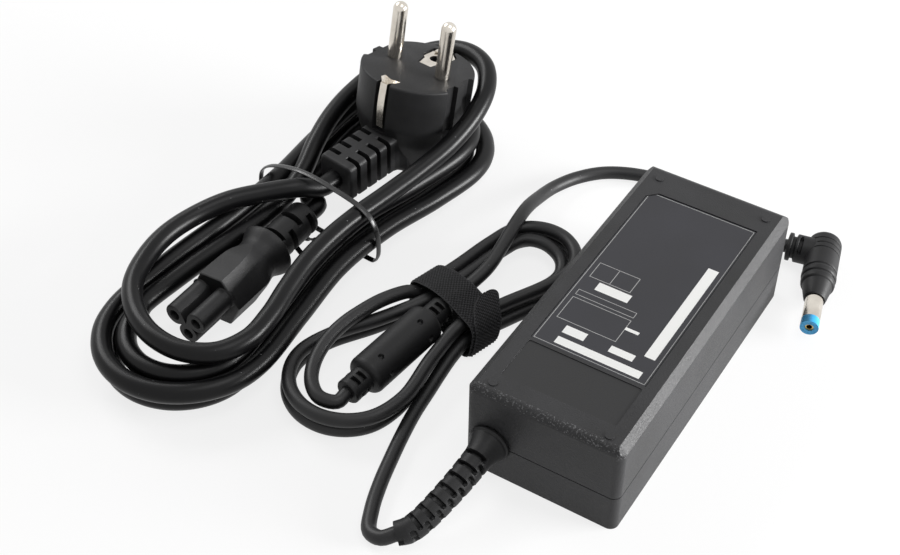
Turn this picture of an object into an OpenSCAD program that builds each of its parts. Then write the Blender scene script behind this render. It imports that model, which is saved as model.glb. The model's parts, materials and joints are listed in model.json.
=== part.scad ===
// Laptop power adapter: a two-shell case with its power supply board, a captive
// low-voltage lead wound in a hank with a ferrite and a barrel plug, and a loose
// mains lead with an earthed plug and a three-lobe appliance connector.
// Millimetres. Origin at the bottom centre of the case, +Z up, +Y towards the inlet.

/* [Case] */
// Length of the case along Y
case_l = 107; // [104:1:125]
// Width of the case along X
case_w = 46; // [44:1:60]
// Height of the case
case_h = 31; // [30:1:40]
// Thickness of the case walls
wall = 2.2; // [1.8:0.1:2.6]
// Radius of the upright corners
corner_r = 2.5; // [2.5:0.1:5]
// Height where the two covers meet
seam_z = 12.35; // [11:0.05:14]
// Open groove that shows along the seam
seam_gap = 0.3; // [0.1:0.1:0.6]
// Height of the lower cover's tongue above the seam
tongue_h = 1.6; // [1:0.1:2.5]
// Thickness of the tongue
tongue_t = 0.9; // [0.6:0.1:1.2]
// Size of the chamfer along the long top edges
edge_chamfer = 3.1; // [1.5:0.1:3.5]
// Radius of the short top edges
end_round = 2.5; // [1.5:0.1:3.5]

/* [Label] */
// Distance from the label to each side of the case
label_side = 6; // [5.5:0.5:12]
// Distance from the label to the inlet end of the case
label_back = 12.2; // [10:0.1:30]
// Distance from the label to the lead end of the case
label_front = 23.8; // [23:0.1:40]
// Thickness of the rating label
label_t = 0.2; // [0.1:0.05:0.3]
// Depth of the recess that holds the label
label_recess = 0.4; // [0.3:0.05:0.6]
// Length of the sunk panel beside the label
panel_l = 15; // [8:1:16]
// Distance from the sunk panel to the lead end of the case
panel_front = 7.5; // [6.5:0.1:8]
// Diameter of the four raised pips
pip_d = 2.5; // [1.5:0.1:3.5]
// Height of the pips
pip_h = 0.3; // [0.2:0.05:0.5]
// Distance from a pip's centre to the side of the case
pip_side = 5.9; // [5:0.1:9]
// Distance from a pip's centre to the lead end of the case
pip_front = 3.8; // [3.8:0.1:6]
// Distance from a pip's centre to the inlet end of the case
pip_back = 5.8; // [3.8:0.1:8]

/* [Inlet] */
// Width of the inlet block
inlet_w = 24; // [20:0.5:28]
// Height of the inlet block
inlet_h = 18; // [16:0.5:20]
// Depth of the inlet block
inlet_d = 19; // [17:0.5:24]
// Height of the inlet's axis
inlet_z = 15; // [13:0.5:16]
// Diameter of an inlet pin
inlet_pin_d = 2.4; // [2:0.1:2.6]
// Length of the pins inside the socket
inlet_pin_l = 10; // [7:0.5:11]
// Clearance round the connector's nose in the socket
nose_clear = 0.4; // [0.2:0.05:0.8]

/* [Board] */
// Thickness of the circuit board
board_t = 1.6; // [1:0.1:2]
// Height of the board's underside
board_z = 6.2; // [5.2:0.1:7]
// Thickness of the metal heat spreaders
spreader_t = 0.6; // [0.4:0.1:1]
// Thickness of the insulation sheet
sheet_t = 0.3; // [0.2:0.1:0.5]
// Diameter of the board posts
post_d = 4.4; // [3.5:0.1:6]
// Diameter of the locating pins on the posts
post_pin_d = 2; // [1.5:0.1:2.6]

/* [Components] */
// Diameter of the bulk capacitor
bulk_d = 16; // [12:0.5:17]
// Length of the bulk capacitor, as a share of the board's
bulk_share = 0.31; // [0.2:0.01:0.32]
// Width of the transformer core
core_w = 23; // [18:0.5:24]
// Length of the transformer core, as a share of the board's
core_share = 0.21; // [0.16:0.01:0.22]
// Thickness of the thermal pad between the core and the upper spreader
pad_t = 3.4; // [1:0.1:6]
// Thickness of the core's legs
core_leg = 3.5; // [2.5:0.1:4]
// Outer diameter of the filter choke's ring
choke_d = 14; // [10:0.5:15]
// Thickness of the filter choke's ring
choke_t = 5; // [3:0.5:6]
// Diameter of the choke's copper wire
wire_d = 0.9; // [0.6:0.1:1.2]
// Thickness of the heat sink plates
sink_t = 1.6; // [1:0.1:2.4]
// Height that the heat sink plates stay below the core
sink_drop = 1; // [0:0.5:3]
// Diameter of an output capacitor
out_cap_d = 8; // [6:0.5:8.5]
// Height of an output capacitor
out_cap_h = 15; // [10:0.5:17]
// Height of the filter capacitor box
x_cap_h = 13; // [9:0.5:16]
// Diameter of the screws in the heat sinks
screw_d = 3; // [2:0.5:3.5]

/* [Low-voltage lead] */
// Diameter of the low-voltage cord
dc_d = 4.2; // [3:0.1:4.2]
// Diameter of the flange outside the case wall
flange_d = 11.8; // [11:0.1:13]
// Diameter of the strain relief's neck in the wall
neck_d = 9.4; // [8:0.1:10]
// Diameter of the ferrite cover
ferrite_d = 12; // [11:0.1:13]
// Length of the ferrite cover
ferrite_l = 28; // [24:0.5:30]
// Length of the boots at the cover's ends
ferrite_boot_l = 7; // [6:0.5:8]
// Width of the hook-and-loop strap
strap_w = 11; // [8:0.5:13]
// Thickness of the strap
strap_t = 1; // [0.8:0.1:1.5]
// Outer diameter of the plug's barrel
barrel_d = 5.5; // [4.8:0.1:6]
// Bore for the socket's pin
barrel_bore = 1.7; // [1.3:0.1:2.5]
// Length of the bare barrel with its tip ring
barrel_l = 12; // [9:0.5:13]
// Length of the coloured tip ring
tip_l = 3; // [1:0.5:4]
// Diameter of the plug's head
head_d = 10.4; // [9:0.1:10.6]
// Diameter of the plug's arm
arm_d = 8.8; // [7:0.1:9.4]

/* [Mains lead] */
// Diameter of the mains cord
ac_d = 6.2; // [5:0.1:6.2]
// Diameter of the mains plug's face
face_d = 36.8; // [34:0.1:37]
// Depth of the mains plug
plug_l = 32; // [30:0.5:32]
// Depth of the plug's full-width part
plug_rim_l = 14.5; // [10:0.5:18]
// Diameter of a plug pin
pin_d = 4.8; // [4:0.1:4.8]
// Length of a plug pin
pin_l = 19; // [17:0.5:19]
// Distance between the plug pins
pin_pitch = 19; // [17.5:0.5:19.5]
// Diameter of the socket for the earth pin
earth_hole_d = 5; // [4.6:0.1:5.4]
// Width of the plug's square boot
boot_w = 13; // [10:0.5:13]
// Diameter of one lobe of the appliance connector's nose
lobe_d = 6.6; // [6:0.1:6.8]
// Distance between the upper two lobes
lobe_pitch = 8; // [7.5:0.1:8.5]
// Length of the connector's nose
nose_l = 13; // [11:0.5:13.5]
// Width of the connector's body
c5_w = 18.4; // [17:0.2:18.6]
// Length of the connector's body
c5_l = 24; // [20:0.5:25]
// Width of the wire tie
tie_w = 2.2; // [1.5:0.1:3]
// Thickness of the wire tie
tie_t = 1; // [0.8:0.1:1.2]

/* [Hidden] */
$fn = 48;
eps = 0.01;
held = 0.04;                            // clearance on diameter of pieces that are moulded in
neck = 0.6;                             // how much thinner a pin or barrel is where it is moulded in
neck_out = 0.3;                         // how far that neck shows

// Inside of the case
in_w = case_w - 2 * wall;
in_l = case_l - 2 * wall;
in_r = max(0.5, corner_r - wall);
cover_top = case_h - wall;
label_w = case_w - 2 * label_side;
label_l = case_l - label_back - label_front;
label_y = (label_front - label_back) / 2;
panel_y = -case_l / 2 + panel_front + panel_l / 2;
fit = 0.1;                              // side clearance of the tongue and of the windows
board_top = board_z + board_t;
spreader_gap = 0.3;                     // between the spreaders and the side walls
board_w = in_w - 2 * (spreader_t + spreader_gap) - 0.6;
inlet_back = case_l / 2 - inlet_d;
relief_seat = wall + in_r;              // the strain relief grips the wall and its corner web
relief_lip = 1.4;
board_y0 = -case_l / 2 + relief_seat + relief_lip + 0.2;
board_y1 = inlet_back - 0.5;
post_x = board_w / 2 - 3;
post_y = [board_y0 + 4, board_y1 - 4];
board_l = board_y1 - board_y0;
bulk_l = bulk_share * board_l;
core_l = core_share * board_l;
pad_top = cover_top - spreader_t;
core_h = pad_top - board_top - pad_t;
sink_h = core_h - sink_drop;
gland_x = -15;                          // place of the low-voltage lead along the end wall

// Connector nose, shared by the inlet's socket: two lobes above and one below
lobe_up = 1.9;
lobe_down = 3.6;
pin_spots = [[-lobe_pitch / 2, lobe_up], [lobe_pitch / 2, lobe_up], [0, -lobe_down]];

// ---------- paths and tubes ----------
function smooth(x) = let (c = max(0, min(1, x))) c * c * (3 - 2 * c);
function unit(v) = v / norm(v);
function path_length(p) = len(p) < 2 ? 0 : total([for (i = [1:len(p) - 1]) norm(p[i] - p[i - 1])]);
function total(v, i = 0) = i >= len(v) ? 0 : v[i] + total(v, i + 1);
function heading(p, i) = unit(p[min(i + 1, len(p) - 1)] - p[max(i - 1, 0)]);
function side_of(t) = unit(cross(t, [0, 0, 1]));

// Points of a tube: rings of `sides` points of radius r(i, angle) along the path p
function tube_rings(p, r, sides) = [for (i = [0:len(p) - 1])
    let (t = heading(p, i), s = side_of(t), u = cross(s, t))
    for (k = [0:sides - 1]) let (a = 360 * (k + 0.5) / sides)
        p[i] + r * (cos(a) * s + sin(a) * u)];
function tube_faces(n, sides) = concat(
    [for (i = [0:n - 2], k = [0:sides - 1]) let (a = i * sides, b = a + sides, m = (k + 1) % sides)
        [a + k, a + m, b + m]],
    [for (i = [0:n - 2], k = [0:sides - 1]) let (a = i * sides, b = a + sides, m = (k + 1) % sides)
        [a + k, b + m, b + k]],
    [for (k = [1:sides - 2]) [0, k + 1, k]],
    [for (k = [1:sides - 2]) let (e = (n - 1) * sides) [e, e + k, e + k + 1]]);
module tube(p, d, sides) {
    polyhedron(tube_rings(p, d / 2, sides), tube_faces(len(p), sides), convexity = 10);
}

// A hank: loops drawn in at the waist, in two layers. Each setting list holds
// [loops, first quarter, pitch, top, bottom, waist, top r, bottom r, z first, z last,
//  lift at the waist, heading, centre x, centre y, spiral in then out, bend of the top, of the bottom]
function bent(u, v, reach, far) = let (
    part = max(0, (v - 20) / (reach - 20)),
    slope = 2 * far * part / (reach - 20))
    [far * part * part + u / norm([1, slope]), v - u * slope / norm([1, slope])];
function hank_inset(h, t) = h[2] * (h[14] ? min(t, h[0] - t) : abs(t - h[0] / 2));
function hank_point(h, t) = let (
    turn = t + h[1] - floor(t + h[1]),
    quarter = floor(turn * 4 + 1e-6) % 4,
    part = max(0, min(1, turn * 4 - floor(turn * 4 + 1e-6))),
    q = quarter == 1 || quarter == 3 ? 1 - part : part,
    up = quarter < 2,
    reach = up ? h[3] : h[4],
    r = up ? h[6] : h[7],
    inset = hank_inset(h, t),
    straight = 0.4,
    a = (q - straight) / (1 - straight) * 90,
    s = q / straight,
    u0 = q < straight ? h[5] + (r - h[5]) * smooth(s) - inset : (r - inset) * cos(a),
    v0 = q < straight ? (reach - r) * s : reach - r + (r - inset) * sin(a),
    uv = bent(quarter == 0 || quarter == 3 ? u0 : -u0, v0, reach, up ? h[15] : h[16]),
    u = uv[0],
    v = up ? uv[1] : -uv[1],
    z = h[8] + (h[9] - h[8]) * smooth((t - (h[0] / 2 - 0.25)) / 0.5)
        + h[10] * smooth(1 - abs(v0) / 30))
    [h[12] + u * sin(h[11]) + v * cos(h[11]), h[13] - u * cos(h[11]) + v * sin(h[11]), z];
function hank_path(h, per_loop) = let (n = round(h[0] * per_loop))
    [for (i = [0:n]) hank_point(h, h[0] * i / n)];
function self_gap(p, skip, d) = min([for (i = [0:len(p) - 1 - skip]) for (j = [i + skip:len(p) - 1])
    norm(p[i] - p[j])]) - d;
// The hank's path with a straight piece of length d0 before it and d1 after it
function hank_run(h, d0, d1, per_loop) = let (
    p = hank_path(h, per_loop),
    n = len(p),
    a = unit(hank_point(h, 0) - hank_point(h, 0.01)),
    b = unit(hank_point(h, h[0]) - hank_point(h, h[0] - 0.01)))
    concat([p[0] + a * d0], p, [p[n - 1] + b * d1]);

// ---------- low-voltage lead ----------
dc_hank = [2.5, 0, 4.65, 51, 57, 10.5, 14, 20.5, 2.1, 6.75, 2.1, 74, -54, -14, true, 0, 0];
dc_run = hank_run(dc_hank, 0.5, 0.5, 24);
dc_in = dc_run[0];
dc_in_dir = unit(dc_run[0] - dc_run[1]);
dc_out = dc_run[len(dc_run) - 1];
dc_out_dir = unit(dc_out - dc_run[len(dc_run) - 2]);
relief_path = [for (q = [[0, 0, 0], [0, -4.5, -0.1], [-0.2, -8.5, -0.5], [-0.6, -12.5, -1.3],
    [-1.2, -16.5, -2.3], [-2, -20.5, -3.5], [-3, -24.5, -4.9], [-4.2, -28.1, -6.3],
    [-5.8, -31.3, -7.4], [-8.2, -33.4, -8.2]]) [gland_x, -case_l / 2, seam_z] + q];
relief_end = relief_path[len(relief_path) - 1];
relief_dir = unit(relief_end - relief_path[len(relief_path) - 2]);
dc_start_path = concat([relief_end, relief_end + relief_dir * dc_d], [[-30.3, -88.8, 2.3],
    [-33.8, -82.6, 2.1], [-36.8, -74, 2.1], [-38.9, -66, 2.1], [-41, -57, 2.1], [-42.7, -48, 2.1],
    [-43.7, -38.5, 2.4], [-44.2, -32, 3.1], [-44.5, -25, 3.8]], [dc_in + dc_in_dir / 2, dc_in]);
ferrite_a = [-58.8, -49, 8.1];          // lower end of the ferrite cover's axis
ferrite_dir = unit([3.6, 27.9, 0.9]);
ferrite_in = ferrite_a - ferrite_dir * ferrite_boot_l;
ferrite_out = ferrite_a + ferrite_dir * (ferrite_l + ferrite_boot_l);
dc_bend_path = concat([dc_out, dc_out + dc_out_dir], [[-66.2, -15.2, 10.2], [-68.4, -19.6, 11],
    [-70.4, -24.2, 11.3], [-72.2, -30, 11.4], [-73.8, -37, 11.3], [-74.4, -45, 10.6],
    [-73, -53, 9.4], [-69.6, -58.8, 8.6], [-65, -61.6, 8.1]],
    [ferrite_in - ferrite_dir * dc_d, ferrite_in]);
dc_plug_in = [19, 68.8, 5.3];           // where the cord meets the plug's arm
elbow = [30, 71, 5.3];
arm_dir = unit(elbow - dc_plug_in);
dc_end_path = concat([ferrite_in, ferrite_out, ferrite_out + ferrite_dir * dc_d],
    [[-50.6, 4, 11.8], [-51.6, 14, 11.7], [-53.4, 25, 11.6], [-55.2, 36, 10], [-56.6, 47, 6],
    [-56.2, 57, 3.4], [-53, 66, 2.2], [-47, 73, 2.1], [-39, 77.5, 2.1], [-29, 80, 2.1], [-18, 80.5, 2.1],
    [-8, 79, 2.1], [1, 76.2, 2.5], [8, 72.6, 4]],
    [dc_plug_in - arm_dir * dc_d, dc_plug_in]);

// ---------- mains lead ----------
ac_hank = [2.85, 0.6, 6.75, 81, 83, 21, 27, 26, 9.8, 3.1, 1.8, 87.5, -111, -5, false, 3, 6];
ac_run = hank_run(ac_hank, 1, ac_d, 24);
ac_in = ac_run[0];
ac_in_dir = unit(ac_run[0] - ac_run[1]);
ac_out = ac_run[len(ac_run) - 1];
ac_out_dir = unit(ac_out - ac_run[len(ac_run) - 2]);
face_at = [-105.5, 52.5, 34.5];         // centre of the mains plug's face
face_yaw = -5;
face_tilt = -12;
boot_end = [-110.5, 12, 14.6];
boot_start = [-107.2, 32.9, 14.1];
boot_dir = unit(boot_end - boot_start);
c5_end = [-112, -2.6, 9];               // where the cord meets the connector's boot
c5_dir = unit([-1.4, -60, 0]);
ac_start_path = concat([boot_end, boot_end + boot_dir * ac_d], [[-116, -0.8, 17.2],
    [-123.2, -8.4, 17.3], [-130, -17, 17.2], [-134.8, -27, 16.5], [-136.8, -38, 16.4],
    [-135.6, -49, 16.4], [-131.5, -60, 16.4], [-123.5, -68.5, 16.4], [-113.4, -73.3, 16.4],
    [-102.5, -73.6, 16.4], [-94, -69, 16.4], [-89.8, -60, 16.4], [-90.2, -49.5, 16.4],
    [-92.5, -38, 16.4], [-94.4, -25.5, 16.4], [-94.6, -13, 16.4], [-93.5, -1, 16.4],
    [-90.8, 12, 17], [-87.5, 26, 18.6], [-84.8, 39, 21], [-84, 52, 24.4], [-86.2, 63, 27],
    [-92, 71.5, 28.4], [-101, 75.6, 28], [-111, 75.2, 25.4], [-120, 69.5, 22], [-126.4, 59.5, 19.5],
    [-128.4, 47.5, 18], [-127.8, 35, 17], [-125.4, 23, 15.6], [-122.6, 11, 12.4],
    [-121.9, 0, 9.9], [-122.4, -11, 9.5], [-123.9, -23, 9.5], [-126, -35, 9.5],
    [-127.5, -46, 9.5]],
    [ac_in + ac_in_dir * ac_d / 2, ac_in]);
ac_end_path = concat([ac_out, ac_out + ac_out_dir * ac_d], [[-116.6, 6.4, 7]],
    [c5_end - c5_dir * ac_d, c5_end]);
echo("low-voltage cord", path_length(dc_start_path), path_length(dc_run),
    path_length(dc_bend_path), path_length(dc_end_path));
echo("mains cord", path_length(ac_start_path), path_length(ac_run), path_length(ac_end_path));
echo("least gap in the low-voltage hank", self_gap(hank_path(dc_hank, 96), 60, dc_d));
echo("least gap in the mains hank", self_gap(hank_path(ac_hank, 96), 60, ac_d));

// ---------- case ----------
module rounded_rect(w, l, r) {
    square([w - 2 * r, l], center = true);
    square([w, l - 2 * r], center = true);
    for (x = [-1, 1], y = [-1, 1])
        translate([x * (w / 2 - r), y * (l / 2 - r)]) circle(r = r);
}
module along_y(at) { translate(at) rotate([90, 0, 0]) children(); }
module at_corners(dx, dy) {
    for (x = [-dx, dx], y = dy) translate([x, y, 0]) children();
}
module gland_hole() {
    along_y([gland_x, -case_l / 2 + wall + 1, seam_z])
        cylinder(d = neck_d + 2 * fit, h = wall + 2);
}
module inlet_window() {
    translate([-inlet_w / 2 - fit, case_l / 2 - wall - 1, inlet_z - inlet_h / 2 - fit])
        cube([inlet_w + 2 * fit, wall + 2, inlet_h + 2 * fit]);
}
// The label's outline has one cut corner
module label_shape(w, l, cut) {
    polygon([[-w / 2, -l / 2], [w / 2, -l / 2], [w / 2, l / 2], [cut - w / 2, l / 2],
        [-w / 2, l / 2 - cut]]);
}

module upper_cover() {
    z0 = seam_z + seam_gap / 2;
    color("#474749") difference() {
        union() {
            translate([0, 0, z0]) linear_extrude(case_h - z0) rounded_rect(case_w, case_l, corner_r);
            for (x = [-1, 1], y = [pip_front - case_l / 2, case_l / 2 - pip_back])
                translate([x * (case_w / 2 - pip_side), y, case_h - eps])
                    cylinder(d = pip_d, h = pip_h + eps);
        }
        for (x = [-1, 1])
            translate([x * case_w / 2, 0, case_h]) rotate([0, 45, 0])
                cube([edge_chamfer, case_l + 2, edge_chamfer], center = true);
        for (y = [-1, 1]) difference() {
            translate([-case_w / 2 - 1, y * case_l / 2 - end_round, case_h - end_round])
                cube([case_w + 2, 2 * end_round, 2 * end_round]);
            translate([-case_w / 2 - 2, y * (case_l / 2 - end_round), case_h - end_round])
                rotate([0, 90, 0]) cylinder(r = end_round, h = case_w + 4);
        }
        translate([0, 0, z0 - 1]) linear_extrude(cover_top - z0 + 1) rounded_rect(in_w, in_l, in_r);
        translate([0, 0, z0 - 1]) linear_extrude(seam_z + tongue_h - z0 + 1)
            rounded_rect(in_w + 2 * (tongue_t + fit), in_l + 2 * (tongue_t + fit), in_r);
        translate([0, label_y, case_h - label_recess]) linear_extrude(1)
            label_shape(label_w + 0.4, label_l + 0.4, 3);
        translate([0, panel_y, case_h - label_recess / 2]) linear_extrude(1)
            rounded_rect(label_w, panel_l, 0.8);
        gland_hole();
        inlet_window();
    }
}
module lower_cover() {
    color("#757274") difference() {
        union() {
            linear_extrude(seam_z - seam_gap / 2) rounded_rect(case_w, case_l, corner_r);
            translate([0, 0, wall]) linear_extrude(seam_z + tongue_h - wall)
                rounded_rect(in_w + 2 * tongue_t, in_l + 2 * tongue_t, in_r);
        }
        difference() {
            translate([0, 0, wall]) linear_extrude(case_h) rounded_rect(in_w, in_l, in_r);
            at_corners(post_x, post_y) {
                cylinder(d = post_d, h = board_z);
                cylinder(d = post_pin_d, h = board_top + 0.6);
            }
        }
        gland_hole();
        inlet_window();
    }
}
module rating_label() {
    color("#4d4d53") translate([0, label_y, case_h - label_recess])
        linear_extrude(label_t) label_shape(label_w, label_l, 2.9);
}

// ---------- inlet ----------
module nose_shape(grow) {
    for (p = pin_spots) translate(p) circle(d = lobe_d + 2 * grow);
    polygon([for (p = pin_spots) p + [0, p[1] > 0 ? grow : -grow]]);
}
module ac_inlet_housing() {
    color("#2b2b2d") difference() {
        union() {
            translate([-inlet_w / 2, inlet_back, inlet_z - inlet_h / 2])
                cube([inlet_w, inlet_d, inlet_h]);
            translate([-inlet_w / 2 - 1.5, case_l / 2 - wall - 1.6, inlet_z - inlet_h / 2 - 1])
                cube([inlet_w + 3, 1.6, inlet_h + 2]);
        }
        along_y([0, case_l / 2 + eps, inlet_z]) linear_extrude(nose_l + 0.5 + eps) nose_shape(nose_clear);
        for (p = pin_spots) along_y([p[0], case_l / 2, inlet_z + p[1]])
            cylinder(d = inlet_pin_d + 0.04, h = inlet_d + 1);
    }
}
module ac_inlet_pins() {
    start = case_l / 2 - nose_l - 0.5 + inlet_pin_l;
    color("#c9c7c2") for (p = pin_spots) {
        along_y([p[0], start, inlet_z + p[1]]) cylinder(d = inlet_pin_d, h = start - inlet_back + 2);
        translate([p[0], start, inlet_z + p[1]]) sphere(d = inlet_pin_d);
        translate([p[0] - 0.5, inlet_back - 2, board_top])
            cube([1, 1.2, inlet_z + p[1] - board_top]);
    }
}

// ---------- board and its parts ----------
module on_board(x, y) { translate([x, y, board_top]) children(); }
module block(w, l, h) { translate([-w / 2, -l / 2, 0]) cube([w, l, h]); }
// A cylinder lying along Y that rests on the board
module lying(d, l) { translate([0, l / 2, d / 2]) rotate([90, 0, 0]) cylinder(d = d, h = l); }

line_y = board_y1 - 5;                  // row of the mains filter, behind the inlet
x_cap_t = 6.5;
choke_y = line_y - x_cap_t / 2 - choke_t / 2 - wire_d - 0.8;
bridge_t = 3.6;
bridge_y = choke_y - choke_t / 2 - wire_d - bridge_t / 2 - 0.8;
bulk_y = bridge_y - bridge_t / 2 - 0.7 - bulk_l / 2;
sink_x = -board_w / 2 + 2.5;            // primary heat sink, along the left side
sink_l = 32;
sink_y = bridge_y + 2 - sink_l / 2;
bobbin_t = 1.5;
flange_t = 1.2;
core_x = -2;
core_y = bulk_y - bulk_l / 2 - 1.5 - flange_t - core_l / 2;
cap_y = core_y - core_l / 2 - flange_t - 0.8 - out_cap_d / 2;
out_sink_y = board_y0 + 2.3;
out_sink_w = 20;
rectifier_x = 4;
to220 = [10, 4.4, sink_h - 1];          // width, thickness and height of a power device
hole_z = to220[2] - 3;                  // height of the screw through it
fuse_size = [4, 8.4, 8];
x_cap_w = 18;
bridge_size = [15, bridge_t, 11];
y_cap_d = 9;
out_choke_d = 7;
chip_size = [4, 5, 1.6];

module circuit_board() {
    color("#3f6b46") difference() {
        translate([0, (board_y0 + board_y1) / 2, board_z])
            linear_extrude(board_t) rounded_rect(board_w, board_y1 - board_y0, 1);
        at_corners(post_x, post_y) translate([0, 0, board_z - 1])
            cylinder(d = post_pin_d + 2 * fit, h = board_t + 2);
    }
}
module fuse() {
    color("#6b4a2f") on_board(board_w / 2 - 5 - fuse_size[0] / 2, line_y)
        block(fuse_size[0], fuse_size[1], fuse_size[2]);
}
module x_capacitor() {
    color("#c9a227") on_board(-6, line_y) block(x_cap_w, x_cap_t, x_cap_h);
}
module filter_choke_core() {
    color("#3c5a3c") on_board(-6, choke_y) translate([0, choke_t / 2, choke_d / 2 + wire_d + 0.2])
        rotate([90, 0, 0]) difference() {
            cylinder(d = choke_d, h = choke_t);
            translate([0, 0, -1]) cylinder(d = choke_d / 2, h = choke_t + 2);
        }
}
// Turns of copper wire on each half of the ring, as square-cornered staples round it
module filter_choke_windings() {
    ring = (choke_d - choke_d / 2) / 2;
    color("#b5652b") on_board(-6, choke_y) translate([0, 0, choke_d / 2 + wire_d + 0.2])
        for (a = [-50:20:50], half = [0, 180]) rotate([0, a + half, 0])
            translate([choke_d / 4 + ring / 2, 0, 0]) difference() {
                translate([-ring / 2 - wire_d, -choke_t / 2 - wire_d, -wire_d / 2])
                    cube([ring + 2 * wire_d, choke_t + 2 * wire_d, wire_d]);
                translate([-ring / 2 - 0.05, -choke_t / 2 - 0.05, -wire_d])
                    cube([ring + 0.1, choke_t + 0.1, 2 * wire_d]);
            }
}
module bridge_rectifier() {
    color("#2a2a2c") on_board(9, bridge_y)
        block(bridge_size[0], bridge_size[1], bridge_size[2]);
}
module bulk_capacitor() {
    color("#2c3f5e") on_board(board_w / 2 - bulk_d / 2 - 1.5, bulk_y) lying(bulk_d, bulk_l);
}
module sink_hole(d, l) { rotate([0, 90, 0]) cylinder(d = d, h = l, center = true); }
module primary_heat_sink() {
    color("#b9bbbd") on_board(sink_x, sink_y) difference() {
        block(sink_t, sink_l, sink_h);
        translate([0, 6, hole_z]) sink_hole(screw_d, 2 * sink_t);
    }
}
module primary_transistor() {
    color("#2a2a2c") on_board(sink_x + sink_t / 2 + to220[1] / 2, sink_y + 6) difference() {
        block(to220[1], to220[0], to220[2]);
        translate([0, 0, hole_z]) sink_hole(screw_d, 2 * to220[1]);
    }
}
module screw(d, l) {
    rotate([0, 90, 0]) {
        translate([0, 0, -l]) cylinder(d = d - 0.04, h = l + eps);
        cylinder(d = 1.8 * d, h = 1.6);
    }
}
module heat_sink_screws() {
    color("#c9c7c2") {
        on_board(sink_x + sink_t / 2 + to220[1], sink_y + 6)
            translate([0, 0, hole_z]) screw(screw_d, to220[1] + sink_t);
        on_board(rectifier_x, out_sink_y + sink_t / 2 + to220[1]) translate([0, 0, hole_z])
            rotate([0, 0, 90]) screw(screw_d, to220[1] + sink_t);
    }
}
module transformer_core() {
    gap = core_w - 2 * core_leg;
    color("#3a3a3c") on_board(core_x, core_y) translate([0, 0, bobbin_t]) difference() {
        block(core_w, core_l, core_h - bobbin_t);
        translate([0, 0, core_leg]) difference() {
            block(gap, core_l + 2, core_h - bobbin_t - 2 * core_leg);
            block(core_leg * 2, core_l + 4, core_h);
        }
    }
}
module transformer_bobbin() {
    color("#d8d2b8") on_board(core_x, core_y) {
        block(core_w - 2, core_l, bobbin_t);
        for (y = [-1, 1]) translate([0, y * (core_l + flange_t) / 2, 0])
            block(core_w - 2, flange_t, core_h);
    }
}
module transformer_winding() {
    gap = (core_w - 4 * core_leg) / 2;
    color("#d9b310") on_board(core_x, core_y) for (x = [-1, 1])
        translate([x * (core_leg + gap / 2), 0, bobbin_t + core_leg])
            block(gap, core_l, core_h - bobbin_t - 2 * core_leg);
}
module secondary_heat_sink() {
    color("#b9bbbd") on_board(rectifier_x, out_sink_y) difference() {
        block(out_sink_w, sink_t, sink_h);
        translate([0, 0, hole_z]) rotate([0, 0, 90]) sink_hole(screw_d, 2 * sink_t);
    }
}
module output_rectifier() {
    color("#2a2a2c") on_board(rectifier_x, out_sink_y + sink_t / 2 + to220[1] / 2) difference() {
        block(to220[0], to220[1], to220[2]);
        translate([0, 0, hole_z]) rotate([0, 0, 90]) sink_hole(screw_d, 2 * to220[1]);
    }
}
module output_capacitors() {
    color("#26402c") for (x = [-1, 1])
        on_board(-10.4 + x * (out_cap_d / 2 + 0.4), cap_y) cylinder(d = out_cap_d, h = out_cap_h);
}
module y_capacitor() {
    color("#2f5fa0") on_board(board_w / 2 - y_cap_d / 2 - 0.4, core_y) lying(y_cap_d, 3);
}
module output_choke() {
    color("#b5652b") on_board(board_w / 2 - out_choke_d / 2 - 1.5, cap_y + 1)
        cylinder(d = out_choke_d, h = 9);
}
module controller_chip() {
    color("#2a2a2c") on_board(board_w / 2 - 5, core_y + 8)
        block(chip_size[0], chip_size[1], chip_size[2]);
}

// ---------- sheets ----------
// A sheet folded up along both sides, as thick as t, from z0 and as high as h
module tray(w, l, h, t) {
    block(w, l, t);
    for (x = [-1, 1]) translate([x * (w - t) / 2, 0, 0]) block(t, l, h);
}
spreader_w = in_w - 2 * spreader_gap;
spreader_l = board_y1 - board_y0 - 16;
spreader_y = (board_y0 + board_y1) / 2;
module lower_heat_spreader() {
    color("#c3c5c7") translate([0, spreader_y, wall])
        tray(spreader_w, spreader_l, seam_z - wall - 1.5, spreader_t);
}
module insulation_sheet() {
    color("#e8e4d4") translate([0, spreader_y, wall + spreader_t])
        block(spreader_w - 2 * spreader_t, spreader_l, sheet_t);
}
module upper_heat_spreader() {
    h = cover_top - seam_z - tongue_h - 1;
    color("#c3c5c7") translate([0, spreader_y, cover_top]) mirror([0, 0, 1])
        tray(spreader_w, spreader_l, h, spreader_t);
}
module thermal_pads() {
    color("#9aa7b5") {
        translate([core_x, core_y, board_top + core_h])
            block(core_w - 4, core_l - 2, pad_top - board_top - core_h);
        translate([sink_x, sink_y, board_top + sink_h])
            block(sink_t, sink_l - 4, pad_top - board_top - sink_h);
    }
}
wire_y = board_y0 + 2;
module output_wires() {
    lead_d = 1.8;
    color("#8a2f2a") for (x = [-1.4, 1.4]) {
        along_y([gland_x + x, wire_y, seam_z])
            cylinder(d = lead_d, h = wire_y + case_l / 2 - relief_seat - relief_lip);
        translate([gland_x + x, wire_y, board_top])
            cylinder(d = lead_d, h = seam_z - board_top + lead_d / 2);
    }
}

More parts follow.
